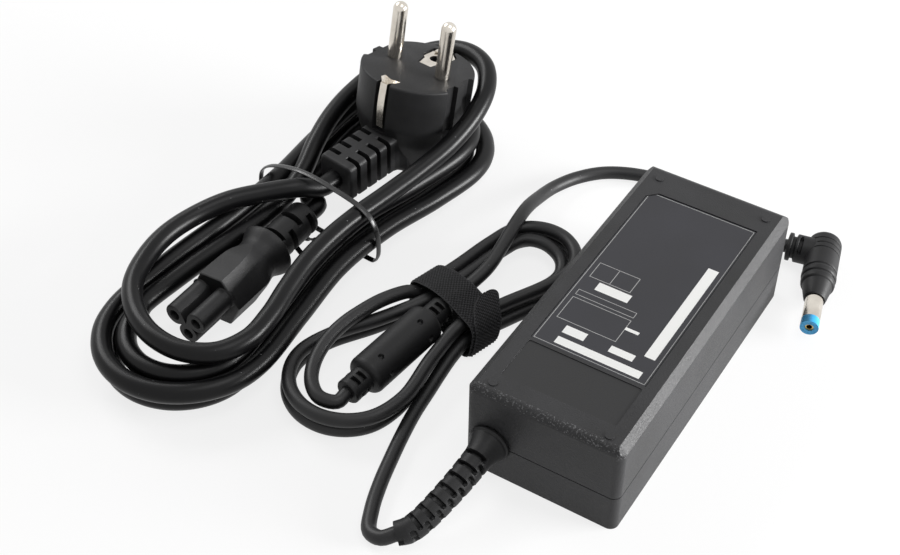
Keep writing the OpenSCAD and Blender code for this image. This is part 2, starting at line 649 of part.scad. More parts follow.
// ---------- strain relief ----------
// Stations of the relief: distance along its path, radius, and the side that a slot cuts:
// 0 none, 1 the top and bottom, 2 the left and right
relief_len = path_length(relief_path);
slot_n = 14;
slot_from = 6.5;
slot_to = relief_len - 2.9;
slot_pitch = (slot_to - slot_from) / slot_n;
function relief_r(s) = 4 - 0.5 * (s - slot_from) / (relief_len - slot_from);
function path_at(p, s, i = 0) = i >= len(p) - 2 || s <= norm(p[i + 1] - p[i])
    ? p[i] + (p[i + 1] - p[i]) * (s / norm(p[i + 1] - p[i]))
    : path_at(p, s - norm(p[i + 1] - p[i]), i + 1);
relief_slots = [for (i = [0:slot_n - 1]) let (s = slot_from + i * slot_pitch)
    for (k = [[0, 0], [0.01, 1], [0.45, 1], [0.46, 0]])
        [s + k[0] * slot_pitch, 0, k[1] == 0 ? 0 : 1 + i % 2]];
relief_stations = concat([[-relief_seat - relief_lip, neck_d / 2 + 0.9, 0],
    [-relief_seat - 0.02, neck_d / 2 + 0.9, 0], [-relief_seat - 0.01, neck_d / 2, 0],
    [0.01, neck_d / 2, 0], [0.02, flange_d / 2, 0], [1.2, flange_d / 2, 0], [1.21, 5.4, 0],
    [2.4, 5, 0], [4, 4.5, 0], [6, 4.1, 0]], relief_slots,
    [[relief_len - 2.8, 3.5, 0], [relief_len - 2.79, 3.3, 0], [relief_len, 3.2, 0]]);
relief_sides = 16;
function slot_cuts(kind, a) = kind == 1 ? abs(sin(a)) > 0.45 : kind == 2 ? abs(cos(a)) > 0.45 : false;
relief_points = [for (st = relief_stations)
    let (s = st[0],
        c = path_at(relief_path, max(0, s)) + (s < 0 ? [0, -s, 0] : [0, 0, 0]),
        t = s < 2 ? [0, -1, 0]
            : unit(path_at(relief_path, min(relief_len, s + 1)) - path_at(relief_path, s - 1)),
        w = side_of(t), u = cross(w, t), r = st[1] > 0 ? st[1] : relief_r(s))
    for (k = [0:relief_sides - 1]) let (a = 360 * (k + 0.5) / relief_sides)
        c + (slot_cuts(st[2], a) ? r - 1.2 : r) * (cos(a) * w + sin(a) * u)];
module dc_strain_relief() {
    color("#2f2f31")
        polyhedron(relief_points, tube_faces(len(relief_stations), relief_sides), convexity = 10);
}

// ---------- low-voltage cord ----------
module dc_cord_start() { color("#2e2e30") tube(dc_start_path, dc_d, 8); }
module dc_cord_hank() { color("#2e2e30") tube(dc_run, dc_d, 6); }
module dc_cord_bend() { color("#2e2e30") tube(dc_bend_path, dc_d, 8); }
module dc_cord_end() { color("#2e2e30") tube(dc_end_path, dc_d, 8); }

// Stand a shape that is drawn along +Z at a point, pointing along a direction
module aim(at, dir) {
    translate(at) rotate([0, acos(dir[2]), atan2(dir[1], dir[0])]) children();
}
cord_bore = dc_d + 0.3;
core_d = ferrite_d - 2.4;
cover_end = 2;                          // thickness of the cover's ends over the core
module ferrite_cover() {
    end_r = 1.5;
    boot_r = dc_d / 2 + 1.9;
    full_l = ferrite_l + 2 * ferrite_boot_l;
    color("#333335") aim(ferrite_a, ferrite_dir) difference() {
        union() {
            translate([0, 0, end_r]) cylinder(d = ferrite_d, h = ferrite_l - 2 * end_r);
            cylinder(d = ferrite_d - 2 * end_r, h = ferrite_l);
            for (z = [end_r, ferrite_l - end_r]) translate([0, 0, z]) rotate_extrude()
                translate([ferrite_d / 2 - end_r, 0]) circle(r = end_r);
            translate([0, 0, -ferrite_boot_l]) cylinder(r = boot_r, h = full_l);
        }
        translate([0, 0, -ferrite_boot_l - 1]) cylinder(d = cord_bore, h = full_l + 2);
        translate([0, 0, cover_end]) cylinder(d = core_d, h = ferrite_l - 2 * cover_end);
        for (z = [-0.75, -0.45], x = [-1, 1]) translate([x * boot_r, 0, z * ferrite_boot_l])
            cube([2.4, 3 * boot_r, 1], center = true);
        for (z = [0.75, 0.45], x = [-1, 1]) translate([x * boot_r, 0, ferrite_l + z * ferrite_boot_l])
            cube([2.4, 3 * boot_r, 1], center = true);
        for (z = [5, ferrite_l - 5], x = [-1, 1]) translate([0, 0, z]) rotate([0, x * 50 - 90, 0])
            cylinder(d = 1.7, h = ferrite_d);
    }
}
module ferrite_core() {
    color("#55534f") aim(ferrite_a, ferrite_dir) translate([0, 0, cover_end]) difference() {
        cylinder(d = core_d, h = ferrite_l - 2 * cover_end);
        translate([0, 0, -1]) cylinder(d = cord_bore + 0.4, h = ferrite_l);
    }
}
strap_half = 14.5;
strap_h = 14.6;
strap_side_h = 9;
// A band that follows the bundle: upright sides and a roof with its ridge off the middle
module strap_outline(half, low, high, side) {
    cut = 1.5;
    polygon([[cut - half, low], [half - cut, low], [half, low + cut], [half, side],
        [half - 1.9, side + 2.2], [4, high - 0.6], [1.5, high], [-5, high - 0.2], [3.3 - half, high - 1.9],
        [0.9 - half, high - 3.4], [-half, side], [-half, low + cut]]);
}
module hook_and_loop_strap() {
    color("#1f1f21") translate([dc_hank[12], dc_hank[13], 0]) rotate([0, 0, dc_hank[11] - 90])
        translate([0, 4.1 + strap_w / 2, 0]) rotate([90, 0, 0]) linear_extrude(strap_w) difference() {
            strap_outline(strap_half, 0, strap_h, strap_side_h);
            strap_outline(strap_half - strap_t, strap_t, strap_h - strap_t, strap_side_h - 0.3);
        }
}

// ---------- barrel plug ----------
head_dir = unit([0.26, -0.966, 0]);
head_l = 27;
head_back = 6;
module ring(z, d, l) { translate([0, 0, z]) cylinder(d = d, h = l); }
module dc_plug_body() {
    reach = norm(elbow - dc_plug_in);
    groove = 0.8;
    color("#2b2b2d") difference() {
        union() {
            aim(dc_plug_in, arm_dir) {
                ring(0, arm_d, 1.6);
                ring(0, arm_d - 2 * groove, reach);
                ring(2.6, arm_d, reach - 2.6);
            }
            aim(elbow - head_dir * head_back, head_dir) {
                ring(0.8, head_d, 9);
                ring(0, head_d - 1.6, head_l);
                for (z = [11, 13.6, 16.2]) ring(z, head_d, 1.6);
                translate([0, 0, 18.8]) cylinder(d1 = head_d, d2 = head_d - 1.6, h = head_l - 18.8);
            }
        }
        aim(elbow - head_dir * head_back, head_dir) translate([0, 0, head_l - barrel_in])
            cylinder(d = barrel_d - neck + held, h = barrel_in + 1);
    }
}
barrel_in = 4;                          // length of the barrel inside the plug's head
barrel_at = elbow + head_dir * (head_l - head_back - barrel_in);
module dc_plug_barrel() {
    color("#d4d2cd") aim(barrel_at, head_dir) difference() {
        union() {
            cylinder(d = barrel_d - neck, h = barrel_in + 1);
            translate([0, 0, barrel_in + neck_out])
                cylinder(d = barrel_d, h = barrel_l - tip_l - neck_out);
        }
        translate([0, 0, 1]) cylinder(d = barrel_d - 1.2, h = barrel_in + barrel_l);
    }
}
module dc_plug_tip_ring() {
    color("#2f8fd6") aim(barrel_at, head_dir) difference() {
        union() {
            translate([0, 0, barrel_in + barrel_l - tip_l]) cylinder(d = barrel_d, h = tip_l);
            translate([0, 0, 1])
                cylinder(d = barrel_d - 1.2 - held, h = barrel_in + barrel_l - tip_l);
        }
        translate([0, 0, 2]) cylinder(d = barrel_bore + 0.9, h = barrel_in + barrel_l);
    }
}
module dc_plug_center_contact() {
    contact_l = barrel_in + barrel_l - 2.4;
    color("#c9b37a") aim(barrel_at, head_dir) difference() {
        translate([0, 0, 2]) cylinder(d = barrel_bore + 0.9 - held, h = contact_l);
        translate([0, 0, 3]) cylinder(d = barrel_bore, h = contact_l);
    }
}

// ---------- mains plug ----------
module at_face() { translate(face_at) rotate([0, 0, face_yaw]) rotate([face_tilt, 0, 0]) children(); }
module down(z, d1, d2, l) { translate([0, 0, -z - l]) cylinder(d1 = d2, d2 = d1, h = l); }
earth_y = 10;
guide_x = face_d / 2 - 2.7;             // the side guides' flats
guide_w = 13.4;
guide_rib = 3.6;
clip_w = 4;
clip_t = 0.8;
clip_l = 17;
module mains_plug_body() {
    tail_d = face_d - 14;
    boot_l = norm(boot_end - boot_start);
    color("#303032") difference() {
        union() {
            at_face() {
                down(0.6, face_d, face_d, plug_rim_l - 0.6);
                down(0, face_d - 1.2, face_d - 1.2, 1);
                down(plug_rim_l, face_d, tail_d, plug_l - plug_rim_l);
            }
            translate(boot_start) rotate([0, 0, atan2(boot_dir[1], boot_dir[0]) - 90])
                rotate([asin(boot_dir[2]), 0, 0]) {
                    translate([-boot_w / 2, -5, -boot_w / 2]) cube([boot_w, 5.01, boot_w]);
                    difference() {
                        translate([-boot_w / 2, 0, -boot_w / 2]) cube([boot_w, boot_l, boot_w]);
                        for (i = [0:3], x = [-1, 1], z = [-1, 1])
                            translate([x * (boot_w / 2 - 0.8), 2.4 + i * 4.6 + 1, z * (boot_w / 2 - 1.8)])
                                cube([boot_w - 3.4, 1.6, 4.4], center = true);
                    }
                }
        }
        at_face() {
            for (x = [-1, 1]) {
                difference() {
                    translate([x * (guide_x + 2), 0, -plug_rim_l / 2])
                        cube([4, guide_w, plug_rim_l + 2], center = true);
                    translate([x * guide_x, 0, -plug_rim_l / 2])
                        cube([3, guide_rib, plug_rim_l + 2], center = true);
                }
                translate([x * pin_pitch / 2, 0, -14]) cylinder(d = pin_d - neck + held, h = 20);
            }
            translate([0, earth_y, -17]) cylinder(d = earth_hole_d, h = 20);
            for (y = [-1, 1]) {
                translate([-clip_w / 2 - 0.1, y * face_d / 2 - (y > 0 ? 1.6 : 1), -clip_l])
                    cube([clip_w + 0.2, 2.6, clip_l + 1]);
                translate([-clip_w / 2 - 0.1, y > 0 ? face_d / 2 - 6 : -face_d / 2 - 1, -clip_t])
                    cube([clip_w + 0.2, 7, 2]);
            }
        }
    }
}
module mains_plug_pins() {
    color("#cfccc6") at_face() for (x = [-1, 1]) translate([x * pin_pitch / 2, 0, -13]) {
        cylinder(d = pin_d - neck, h = 14);
        translate([0, 0, 13 + neck_out]) cylinder(d = pin_d, h = pin_l - pin_d / 2 - neck_out);
        translate([0, 0, 13 + pin_l - pin_d / 2]) sphere(d = pin_d);
    }
}
module mains_plug_earth_contacts() {
    color("#bdbab3") at_face() for (y = [-1, 1]) mirror([0, y > 0 ? 0 : 1, 0]) {
        translate([-clip_w / 2, face_d / 2 - 1.5, -clip_l + 0.1]) cube([clip_w, clip_t, clip_l - 0.1]);
        translate([-clip_w / 2, face_d / 2 - 5.6, -clip_t]) cube([clip_w, 4.9, clip_t]);
    }
}

// ---------- mains cord ----------
module mains_cord_start() { color("#1d1d1f") tube(ac_start_path, ac_d, 10); }
module mains_cord_hank() { color("#1d1d1f") tube(ac_run, ac_d, 6); }
module mains_cord_end() { color("#1d1d1f") tube(ac_end_path, ac_d, 10); }

// ---------- appliance connector ----------
c5_roll = -5;
c5_boot_l = 20;
c5_collar_l = 4;
// Drawn along +Y with the nose at the far end, then turned to lie on the floor
module at_c5() {
    translate(c5_end) rotate([0, 0, atan2(c5_dir[1], c5_dir[0]) - 90]) rotate([0, -c5_roll, 0]) children();
}
module c5_section(w) {
    h = 8.2;
    polygon([[-w * 0.2, h], [w * 0.2, h], [w / 2, -0.7], [4.2, -h - 0.4], [-4.2, -h - 0.4],
        [-w / 2, -0.7]]);
}
module forward(y, l) { translate([0, y + l, 0]) rotate([90, 0, 0]) linear_extrude(l) children(); }
module c5_connector_body() {
    y1 = c5_boot_l;
    y2 = y1 + c5_collar_l;
    y3 = y2 + c5_l - 4;
    color("#28282a") at_c5() difference() {
        union() {
            forward(0, y1 + 1) circle(d = 11);
            forward(y1, c5_collar_l) circle(d = 16);
            forward(y2, c5_l - 4) c5_section(c5_w);
            forward(y3, nose_l) nose_shape(0);
        }
        for (i = [0:3], x = [-1, 1])
            translate([(i % 2 == 0 ? x * 5 : 0), 3 + i * 4.4, (i % 2 == 0 ? 0 : x * 5)])
                cube(i % 2 == 0 ? [4, 1.8, 7] : [7, 1.8, 4], center = true);
        for (p = pin_spots) translate([0, y3 + nose_l + 1, 0]) translate([p[0], 0, p[1]])
            rotate([90, 0, 0]) cylinder(d = inlet_pin_d + 0.2, h = nose_l);
    }
}
module c5_connector_contacts() {
    y = c5_boot_l + c5_collar_l + c5_l - 4 + nose_l;
    color("#c9b37a") at_c5() for (p = pin_spots) translate([p[0], y - 4, p[1]]) rotate([90, 0, 0])
        difference() {
            cylinder(d = inlet_pin_d + 0.2, h = nose_l - 5);
            translate([0, 0, -1]) cylinder(d = inlet_pin_d - 0.6, h = nose_l - 6);
        }
}

// ---------- wire tie ----------
tie_at = [-110, 2, 0];
tie_outer = [[-25.4, 2], [-25.2, 12], [-20, 19.5], [-12, 21.8], [20, 21.8], [25.4, 14],
    [25.6, 2], [24.5, 0], [-24, 0]];
function inset_point(q, t) = [q[0] > 0 ? q[0] - t : q[0] + t, q[1] > 10 ? q[1] - t : q[1] + t];
module wire_tie() {
    color("#1b1b1d") translate(tie_at) rotate([0, 0, -7.5]) {
        translate([0, tie_w / 2, 0]) rotate([90, 0, 0]) linear_extrude(tie_w) difference() {
            polygon(tie_outer);
            polygon([for (q = tie_outer) inset_point(q, tie_t)]);
        }
        translate([2, 0, 0]) rotate([0, 0, -20]) block(tie_w, 16, tie_t);
    }
}

upper_cover();
lower_cover();
rating_label();
ac_inlet_housing();
ac_inlet_pins();
circuit_board();
fuse();
x_capacitor();
filter_choke_core();
filter_choke_windings();
bridge_rectifier();
bulk_capacitor();
primary_heat_sink();
primary_transistor();
transformer_core();
transformer_bobbin();
transformer_winding();
secondary_heat_sink();
output_rectifier();
output_capacitors();
y_capacitor();
output_choke();
controller_chip();
heat_sink_screws();
insulation_sheet();
lower_heat_spreader();
upper_heat_spreader();
thermal_pads();
output_wires();
dc_strain_relief();
dc_cord_start();
dc_cord_hank();
dc_cord_bend();
dc_cord_end();
ferrite_cover();
ferrite_core();
hook_and_loop_strap();
dc_plug_body();
dc_plug_barrel();
dc_plug_tip_ring();
dc_plug_center_contact();
mains_plug_body();
mains_plug_pins();
mains_plug_earth_contacts();
mains_cord_start();
mains_cord_hank();
mains_cord_end();
c5_connector_body();
c5_connector_contacts();
wire_tie();
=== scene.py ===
"""A laptop power adapter with its captive low-voltage lead and a loose mains lead.

What the pieces share comes first, with the camera and the finishes. Then come the two cords,
the pieces of the low-voltage lead and of the mains lead, what the cords are like, the
finishes of the frame's own pieces, and the studio.
Lengths are metres, and MM turns millimetres into them; a comment says where a value stays in
millimetres.
"""
import json
import math
from types import SimpleNamespace

import bmesh
import bpy
from mathutils import Matrix, Quaternion, Vector


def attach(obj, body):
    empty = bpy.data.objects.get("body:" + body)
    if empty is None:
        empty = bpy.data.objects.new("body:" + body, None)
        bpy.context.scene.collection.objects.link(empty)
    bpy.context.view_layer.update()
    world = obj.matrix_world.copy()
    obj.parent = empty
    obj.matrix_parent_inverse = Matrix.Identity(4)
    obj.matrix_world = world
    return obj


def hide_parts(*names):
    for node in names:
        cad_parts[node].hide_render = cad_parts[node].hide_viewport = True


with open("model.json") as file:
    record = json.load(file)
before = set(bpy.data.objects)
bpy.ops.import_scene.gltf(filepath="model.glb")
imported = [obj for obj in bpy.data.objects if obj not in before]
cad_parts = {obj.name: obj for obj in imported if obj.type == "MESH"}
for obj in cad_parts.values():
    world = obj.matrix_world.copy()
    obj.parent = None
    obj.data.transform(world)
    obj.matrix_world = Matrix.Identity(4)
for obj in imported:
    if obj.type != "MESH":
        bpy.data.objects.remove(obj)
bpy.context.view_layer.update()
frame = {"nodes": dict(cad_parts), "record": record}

MM = 0.001
UP = Vector((0, 0, 1))
ADAPTER = "adapter"
LEAD = "mains_lead"


# ---------- points, paths and surfaces ----------
def mm(*rows):
    """A list of points from rows of millimetres."""
    return [Vector(row) * MM for row in rows]


def smooth(x):
    x = max(0.0, min(1.0, x))
    return x * x * (3 - 2 * x)


def mix(a, b, x):
    return a + (b - a) * x


def curve_through(points, step):
    """Points at most step apart on a smooth curve through the given points."""
    out = []
    for i in range(len(points) - 1):
        p1, p2 = points[i], points[i + 1]
        p0 = points[i - 1] if i else 2 * p1 - p2
        p3 = points[i + 2] if i + 2 < len(points) else 2 * p2 - p1
        t1 = (p1 - p0).length ** 0.5
        t2 = t1 + (p2 - p1).length ** 0.5
        t3 = t2 + (p3 - p2).length ** 0.5
        count = max(1, math.ceil((p2 - p1).length / step))
        for k in range(count):
            t = mix(t1, t2, k / count)
            a1 = mix(p0, p1, t / t1)
            a2 = mix(p1, p2, (t - t1) / (t2 - t1))
            a3 = mix(p2, p3, (t - t2) / (t3 - t2))
            b1 = mix(a1, a2, t / t2)
            b2 = mix(a2, a3, (t - t1) / (t3 - t1))
            out.append(mix(b1, b2, (t - t1) / (t2 - t1)))
    return out + [points[-1]]


def path_length(points):
    return sum((b - a).length for a, b in zip(points, points[1:]))


def evenly(points, distances):
    """(place, heading) at each distance along the points; past the ends it goes straight on."""
    ends = [0.0]
    for a, b in zip(points, points[1:]):
        ends.append(ends[-1] + (b - a).length)
    out, i = [], 0
    for s in distances:
        while i < len(points) - 2 and s > ends[i + 1]:
            i += 1
        heading = (points[i + 1] - points[i]).normalized()
        before = (points[i] - points[max(0, i - 1)]).normalized() if i else heading
        after = (points[min(len(points) - 1, i + 2)] - points[i + 1]).normalized()
        after = after if after.length else heading
        share = (s - ends[i]) / max(1e-9, ends[i + 1] - ends[i])
        bent = mix(before + heading, heading + after, max(0.0, min(1.0, share)))
        out.append((points[i] + heading * (s - ends[i]), bent.normalized()))
    return out


def across(heading):
    """The two directions square to a heading: to its right, and upwards."""
    side = heading.cross(UP)
    side = side.normalized() if side.length > 1e-6 else Vector((1, 0, 0))
    return side, side.cross(heading).normalized()


def skin(rings):
    """A closed surface through rings of points, each ring with the same number of them."""
    bm = bmesh.new()
    rows = [[bm.verts.new(p) for p in ring] for ring in rings]
    n = len(rows[0])
    for a, b in zip(rows, rows[1:]):
        for k in range(n):
            m = (k + 1) % n
            bm.faces.new((a[k], a[m], b[m], b[k]))
    bm.faces.new(list(reversed(rows[0])))
    bm.faces.new(rows[-1])
    bmesh.ops.recalc_face_normals(bm, faces=bm.faces)
    return bm


def piece(name, bm, finish, body, replaced, sharp):
    """A piece from a bmesh: shaded smooth but for edges sharper than the given angle."""
    bmesh.ops.remove_doubles(bm, verts=bm.verts, dist=1e-6)
    mesh = bpy.data.meshes.new(name)
    bm.to_mesh(mesh)
    bm.free()
    mesh.shade_smooth()
    mesh.set_sharp_from_angle(angle=math.radians(sharp))
    obj = bpy.data.objects.new(name, mesh)
    bpy.context.scene.collection.objects.link(obj)
    mesh.materials.append(finish)
    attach(obj, body)
    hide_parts(*replaced)
    return obj


def joined(name, parts, finish, body, replaced, sharp=50):
    """One piece from several closed shells."""
    whole = bmesh.new()
    for part in parts:
        mesh = bpy.data.meshes.new("part")
        part.to_mesh(mesh)
        part.free()
        whole.from_mesh(mesh)
        bpy.data.meshes.remove(mesh)
    return piece(name, whole, finish, body, replaced, sharp)


def swept(points, radius, step, sides, start=0.0):
    """A surface along points whose radius(s, a) changes with the distance and the angle.
    The angle is 0 to the right of the way and 90 above it."""
    end = path_length(points)
    count = max(2, round((end - start) / step))
    places = [mix(start, end, i / count) for i in range(count + 1)]
    rings = []
    for s, (at, heading) in zip(places, evenly(points, places)):
        side, up = across(heading)
        ring = []
        for k in range(sides):
            a = 360 * (k + 0.5) / sides
            way = side * math.cos(math.radians(a)) + up * math.sin(math.radians(a))
            ring.append(at + way * radius(s, a))
        rings.append(ring)
    return rings


def apart(a, b):
    """The angle between two directions, in degrees."""
    return abs((a - b + 180) % 360 - 180)


def profile(rows, s):
    """The value at s on a line through rows of (s, value)."""
    for (s0, v0), (s1, v1) in zip(rows, rows[1:]):
        if s <= s1:
            return mix(v0, v1, (s - s0) / max(1e-9, s1 - s0)) if s > s0 else v0
    return rows[-1][1]


SLOT_RIM = 0.12 * MM        # how wide the rounded rim of a slot is


def slot_in(ds, da, half, reach):
    """How deep into a slot with rounded ends a point lies, from 0 at its rim to 1.
    ds is the distance along the way, da the distance round from its middle."""
    over = max(0.0, abs(da) - max(0.0, reach - half))
    return smooth((half - math.hypot(ds, over)) / SLOT_RIM)


# ---------- camera ----------
VIEW_FROM = Vector((118.4, -295.2, 334.9)) * MM
VIEW_ALONG = Vector((-0.3759, 0.6195, -0.6891))
VIEW_ROLL = 0.75
LENS = 63.5


def make_camera():
    data = bpy.data.cameras.new("camera")
    data.lens = LENS
    data.sensor_width = 36
    data.clip_start = 0.01
    camera = bpy.data.objects.new("camera", data)
    bpy.context.scene.collection.objects.link(camera)
    level = VIEW_ALONG.to_track_quat("-Z", "Y")
    turned = level @ Quaternion((0, 0, 1), math.radians(VIEW_ROLL))
    camera.matrix_world = Matrix.Translation(VIEW_FROM) @ turned.to_matrix().to_4x4()
    bpy.context.scene.camera = camera


make_camera()


# ---------- finishes ----------
PLASTIC_IOR = 1.5
CLOUD = 9 * MM              # soft patches on moulded pieces
GLOSS_SPREAD = 0.06         # how far their roughness strays
DUST = "#8a8a8c"
DUST_SPACE = 3.2 * MM
DUST_SIZE = 0.035           # as a share of that space
# painted shade for the pits between the strap's threads
PAINTED_PIT_SHADE = "#040404"


def hex_colour(text):
    """Linear RGBA from an sRGB hex value."""
    parts = [int(text[i:i + 2], 16) / 255 for i in (1, 3, 5)]
    return [c / 12.92 if c <= 0.04045 else ((c + 0.055) / 1.055) ** 2.4 for c in parts] + [1.0]


def add(tree, kind, inputs=None, **settings):
    """A shader node with its settings; an input is a value or the output that feeds it."""
    new = tree.nodes.new(kind)
    for key, value in settings.items():
        setattr(new, key, value)
    for key, value in (inputs or {}).items():
        if isinstance(value, bpy.types.NodeSocket):
            tree.links.new(value, new.inputs[key])
        else:
            new.inputs[key].default_value = value
    return new


def new_finish(name, roughness, metallic=0.0, **constants):
    """(finish, its tree, its shader): the shader's own sockets hold what is even all over."""
    finish = bpy.data.materials.new(name)
    finish.use_nodes = True
    tree = finish.node_tree
    shader = tree.nodes["Principled BSDF"]
    shader.inputs["Roughness"].default_value = roughness
    shader.inputs["Metallic"].default_value = metallic
    if not metallic:
        shader.inputs["IOR"].default_value = PLASTIC_IOR
    for key, value in constants.items():
        shader.inputs[key.replace("_", " ")].default_value = value
    return finish, tree, shader


def place(tree):
    return add(tree, "ShaderNodeTexCoord").outputs["Object"]


def noise_at(tree, size, detail=2.0, rough=0.5):
    """A noise whose patches are about size metres across."""
    return add(tree, "ShaderNodeTexNoise", {
        "Vector": place(tree), "Scale": 1 / size, "Detail": detail, "Roughness": rough,
    }).outputs["Fac"]


def blend_colours(tree, share, low, high):
    """A colour between two hex values, low where share is 0.35 and high where it is 0.65."""
    ramp = add(tree, "ShaderNodeValToRGB", {"Fac": share})
    ramp.color_ramp.elements[0].position = 0.35
    ramp.color_ramp.elements[1].position = 0.65
    ramp.color_ramp.elements[0].color = hex_colour(low)
    ramp.color_ramp.elements[1].color = hex_colour(high)
    return ramp.outputs["Color"]


def spread(tree, share, low, high):
    """A value from low where share is 0.3 to high where it is 0.7."""
    return add(tree, "ShaderNodeMapRange", {
        "Value": share, "From Min": 0.3, "From Max": 0.7, "To Min": low, "To Max": high,
    }).outputs["Result"]


def bumped(tree, shader, height, depth):
    """Raises the surface by a height of 0 to 1 times depth metres."""
    bump = add(tree, "ShaderNodeBump", {"Height": height, "Distance": depth, "Strength": 1.0})
    tree.links.new(bump.outputs["Normal"], shader.inputs["Normal"])


def moulded(name, low, high, roughness, grain, depth, **constants):
    """Moulded plastic or rubber: two close shades in soft clouds and a moulded grain."""
    finish, tree, shader = new_finish(name, roughness, **constants)
    clouds = noise_at(tree, CLOUD, 3)
    tree.links.new(blend_colours(tree, clouds, low, high), shader.inputs["Base Color"])
    fine = noise_at(tree, grain, 3, 0.6)
    tree.links.new(spread(tree, fine, roughness - GLOSS_SPREAD, roughness + GLOSS_SPREAD),
                   shader.inputs["Roughness"])
    bumped(tree, shader, fine, depth)
    return finish


def maths(tree, operation, a, b):
    return add(tree, "ShaderNodeMath", {0: a, 1: b}, operation=operation).outputs[0]


def within(tree, where, boxes):
    """1 inside any of the boxes of (x0, x1, y0, y1) in millimetres, seen from above."""
    apart_xyz = add(tree, "ShaderNodeSeparateXYZ", {"Vector": where})
    total = None
    for x0, x1, y0, y1 in boxes:
        both = None
        for axis, low, high in (("X", x0, x1), ("Y", y0, y1)):
            near = add(tree, "ShaderNodeMath", {
                0: apart_xyz.outputs[axis], 1: (low + high) / 2 * MM, 2: (high - low) / 2 * MM,
            }, operation="COMPARE").outputs[0]
            both = near if both is None else maths(tree, "MULTIPLY", both, near)
        total = both if total is None else maths(tree, "MAXIMUM", total, both)
    return total


def either(tree, share, low, high):
    """The colour low where share is 0 and high where it is 1."""
    return add(tree, "ShaderNodeMix", {0: share, 6: low, 7: high}, data_type="RGBA").outputs[2]


# Areas of the top as (x0, x1, y0, y1) in millimetres, here and for the label
SUNK_PANEL = (-16.9, 16.9, -45.9, -31.1)
ROUGH_EDGE = (-24, 24, -53.42, -51.2)
TOP_FROM = 27.5 * MM        # both lie above this height
CASE_GRAIN = 0.42 * MM      # finer in truth; as fine as shows
CASE_DEPTH = 0.16 * MM
EDGE_GRAIN = 0.6 * MM
# how strongly the painted glints along the rounded edge show
EDGE_PAINTED_GLINT = 0.34


def case_plastic():
    """ABS and polycarbonate blend off a spark-eroded mould: dark grey with a fine crisp
    grain, smoother and darker in the sunk panel, and coarser along the rounded edge at the
    lead's end, where small glints are painted into the colour as pale specks."""
    finish, tree, shader = new_finish("case_plastic", 0.5, Specular_IOR_Level=0.36,
                                      Sheen_Weight=0.06, Sheen_Roughness=0.4)
    where = place(tree)
    panel = within(tree, where, [SUNK_PANEL])
    high = maths(tree, "GREATER_THAN", add(tree, "ShaderNodeSeparateXYZ", {
        "Vector": where}).outputs["Z"], TOP_FROM)
    edge = maths(tree, "MULTIPLY", within(tree, where, [ROUGH_EDGE]), high)
    panel = maths(tree, "MULTIPLY", panel, high)
    clouds = noise_at(tree, 14 * MM, 3)
    grain = noise_at(tree, CASE_GRAIN, 2, 0.65)
    coarse = noise_at(tree, EDGE_GRAIN, 2, 0.6)
    half = maths(tree, "MULTIPLY", maths(tree, "ADD", clouds, grain), 0.5)
    shade = blend_colours(tree, half, "#0f0f10", "#222224")
    shade = either(tree, panel, shade, hex_colour("#161617"))
    # painted glints: pale specks in the colour where the coarse noise peaks along the rounded edge
    painted_glint = maths(tree, "MULTIPLY", edge, maths(tree, "GREATER_THAN", coarse, 0.6))
    shade = either(tree, maths(tree, "MULTIPLY", painted_glint, EDGE_PAINTED_GLINT), shade, hex_colour("#8f8f91"))
    tree.links.new(shade, shader.inputs["Base Color"])
    tree.links.new(spread(tree, grain, 0.42, 0.6), shader.inputs["Roughness"])
    depth = maths(tree, "SUBTRACT", maths(tree, "ADD", 0.6, maths(tree, "MULTIPLY", edge, 0.8)),
                  maths(tree, "MULTIPLY", panel, 0.45))
    relief = maths(tree, "MULTIPLY", grain, depth)
    bumped(tree, shader, relief, CASE_DEPTH)
    return finish


# The label's print without its words: blank pale strips, and thin frames inside its edge
PALE_STRIPS = [(11.8, 15, -20, 20.2), (-11, 14.3, -28.2, -25.5), (-11, -4.5, -23.8, -20.8),
               (2.8, 10, -23.6, -21.1), (-11.3, -1.2, -4.6, -1.3), (2.9, 7, -14, -12.9)]
FRAMES = [(-15, -2.3, -0.6, 6), (-15, 3, -19.4, -10), (-15, 3, -8.9, -6.6)]
BORDER = (-16.6, 16.6, -29.3, 40.9)
PARTING = (-8.8, -0.6, 6)   # x, y0 and y1 of a line across the first frame
FRAME_LINE = 0.19           # the lines' width
FRAME_SHARE = 0.45          # how strongly the thin lines show


def label_film():
    """Printed polyester film over the label's recess: smoother than the case, satin, with a
    slight cast of blue, blank pale strips and thin pale frames."""
    finish, tree, shader = new_finish("label_film", 0.4, Specular_IOR_Level=0.4)
    where = place(tree)
    clouds = noise_at(tree, 20 * MM, 2)
    shade = blend_colours(tree, clouds, "#222226", "#26262b")
    t = FRAME_LINE
    sides = []
    for x0, x1, y0, y1 in FRAMES + [BORDER]:
        sides += [(x0, x0 + t, y0, y1), (x1 - t, x1, y0, y1), (x0, x1, y0, y0 + t),
                  (x0, x1, y1 - t, y1)]
    x, y0, y1 = PARTING
    sides.append((x, x + t, y0, y1))
    lines = maths(tree, "MULTIPLY", within(tree, where, sides), FRAME_SHARE)
    print_share = maths(tree, "MAXIMUM", lines, within(tree, where, PALE_STRIPS))
    shade = either(tree, print_share, shade, hex_colour("#dcdcda"))
    tree.links.new(shade, shader.inputs["Base Color"])
    satin = noise_at(tree, 0.5 * MM, 2)
    tree.links.new(spread(tree, satin, 0.36, 0.44), shader.inputs["Roughness"])
    bumped(tree, shader, satin, 0.008 * MM)
    return finish


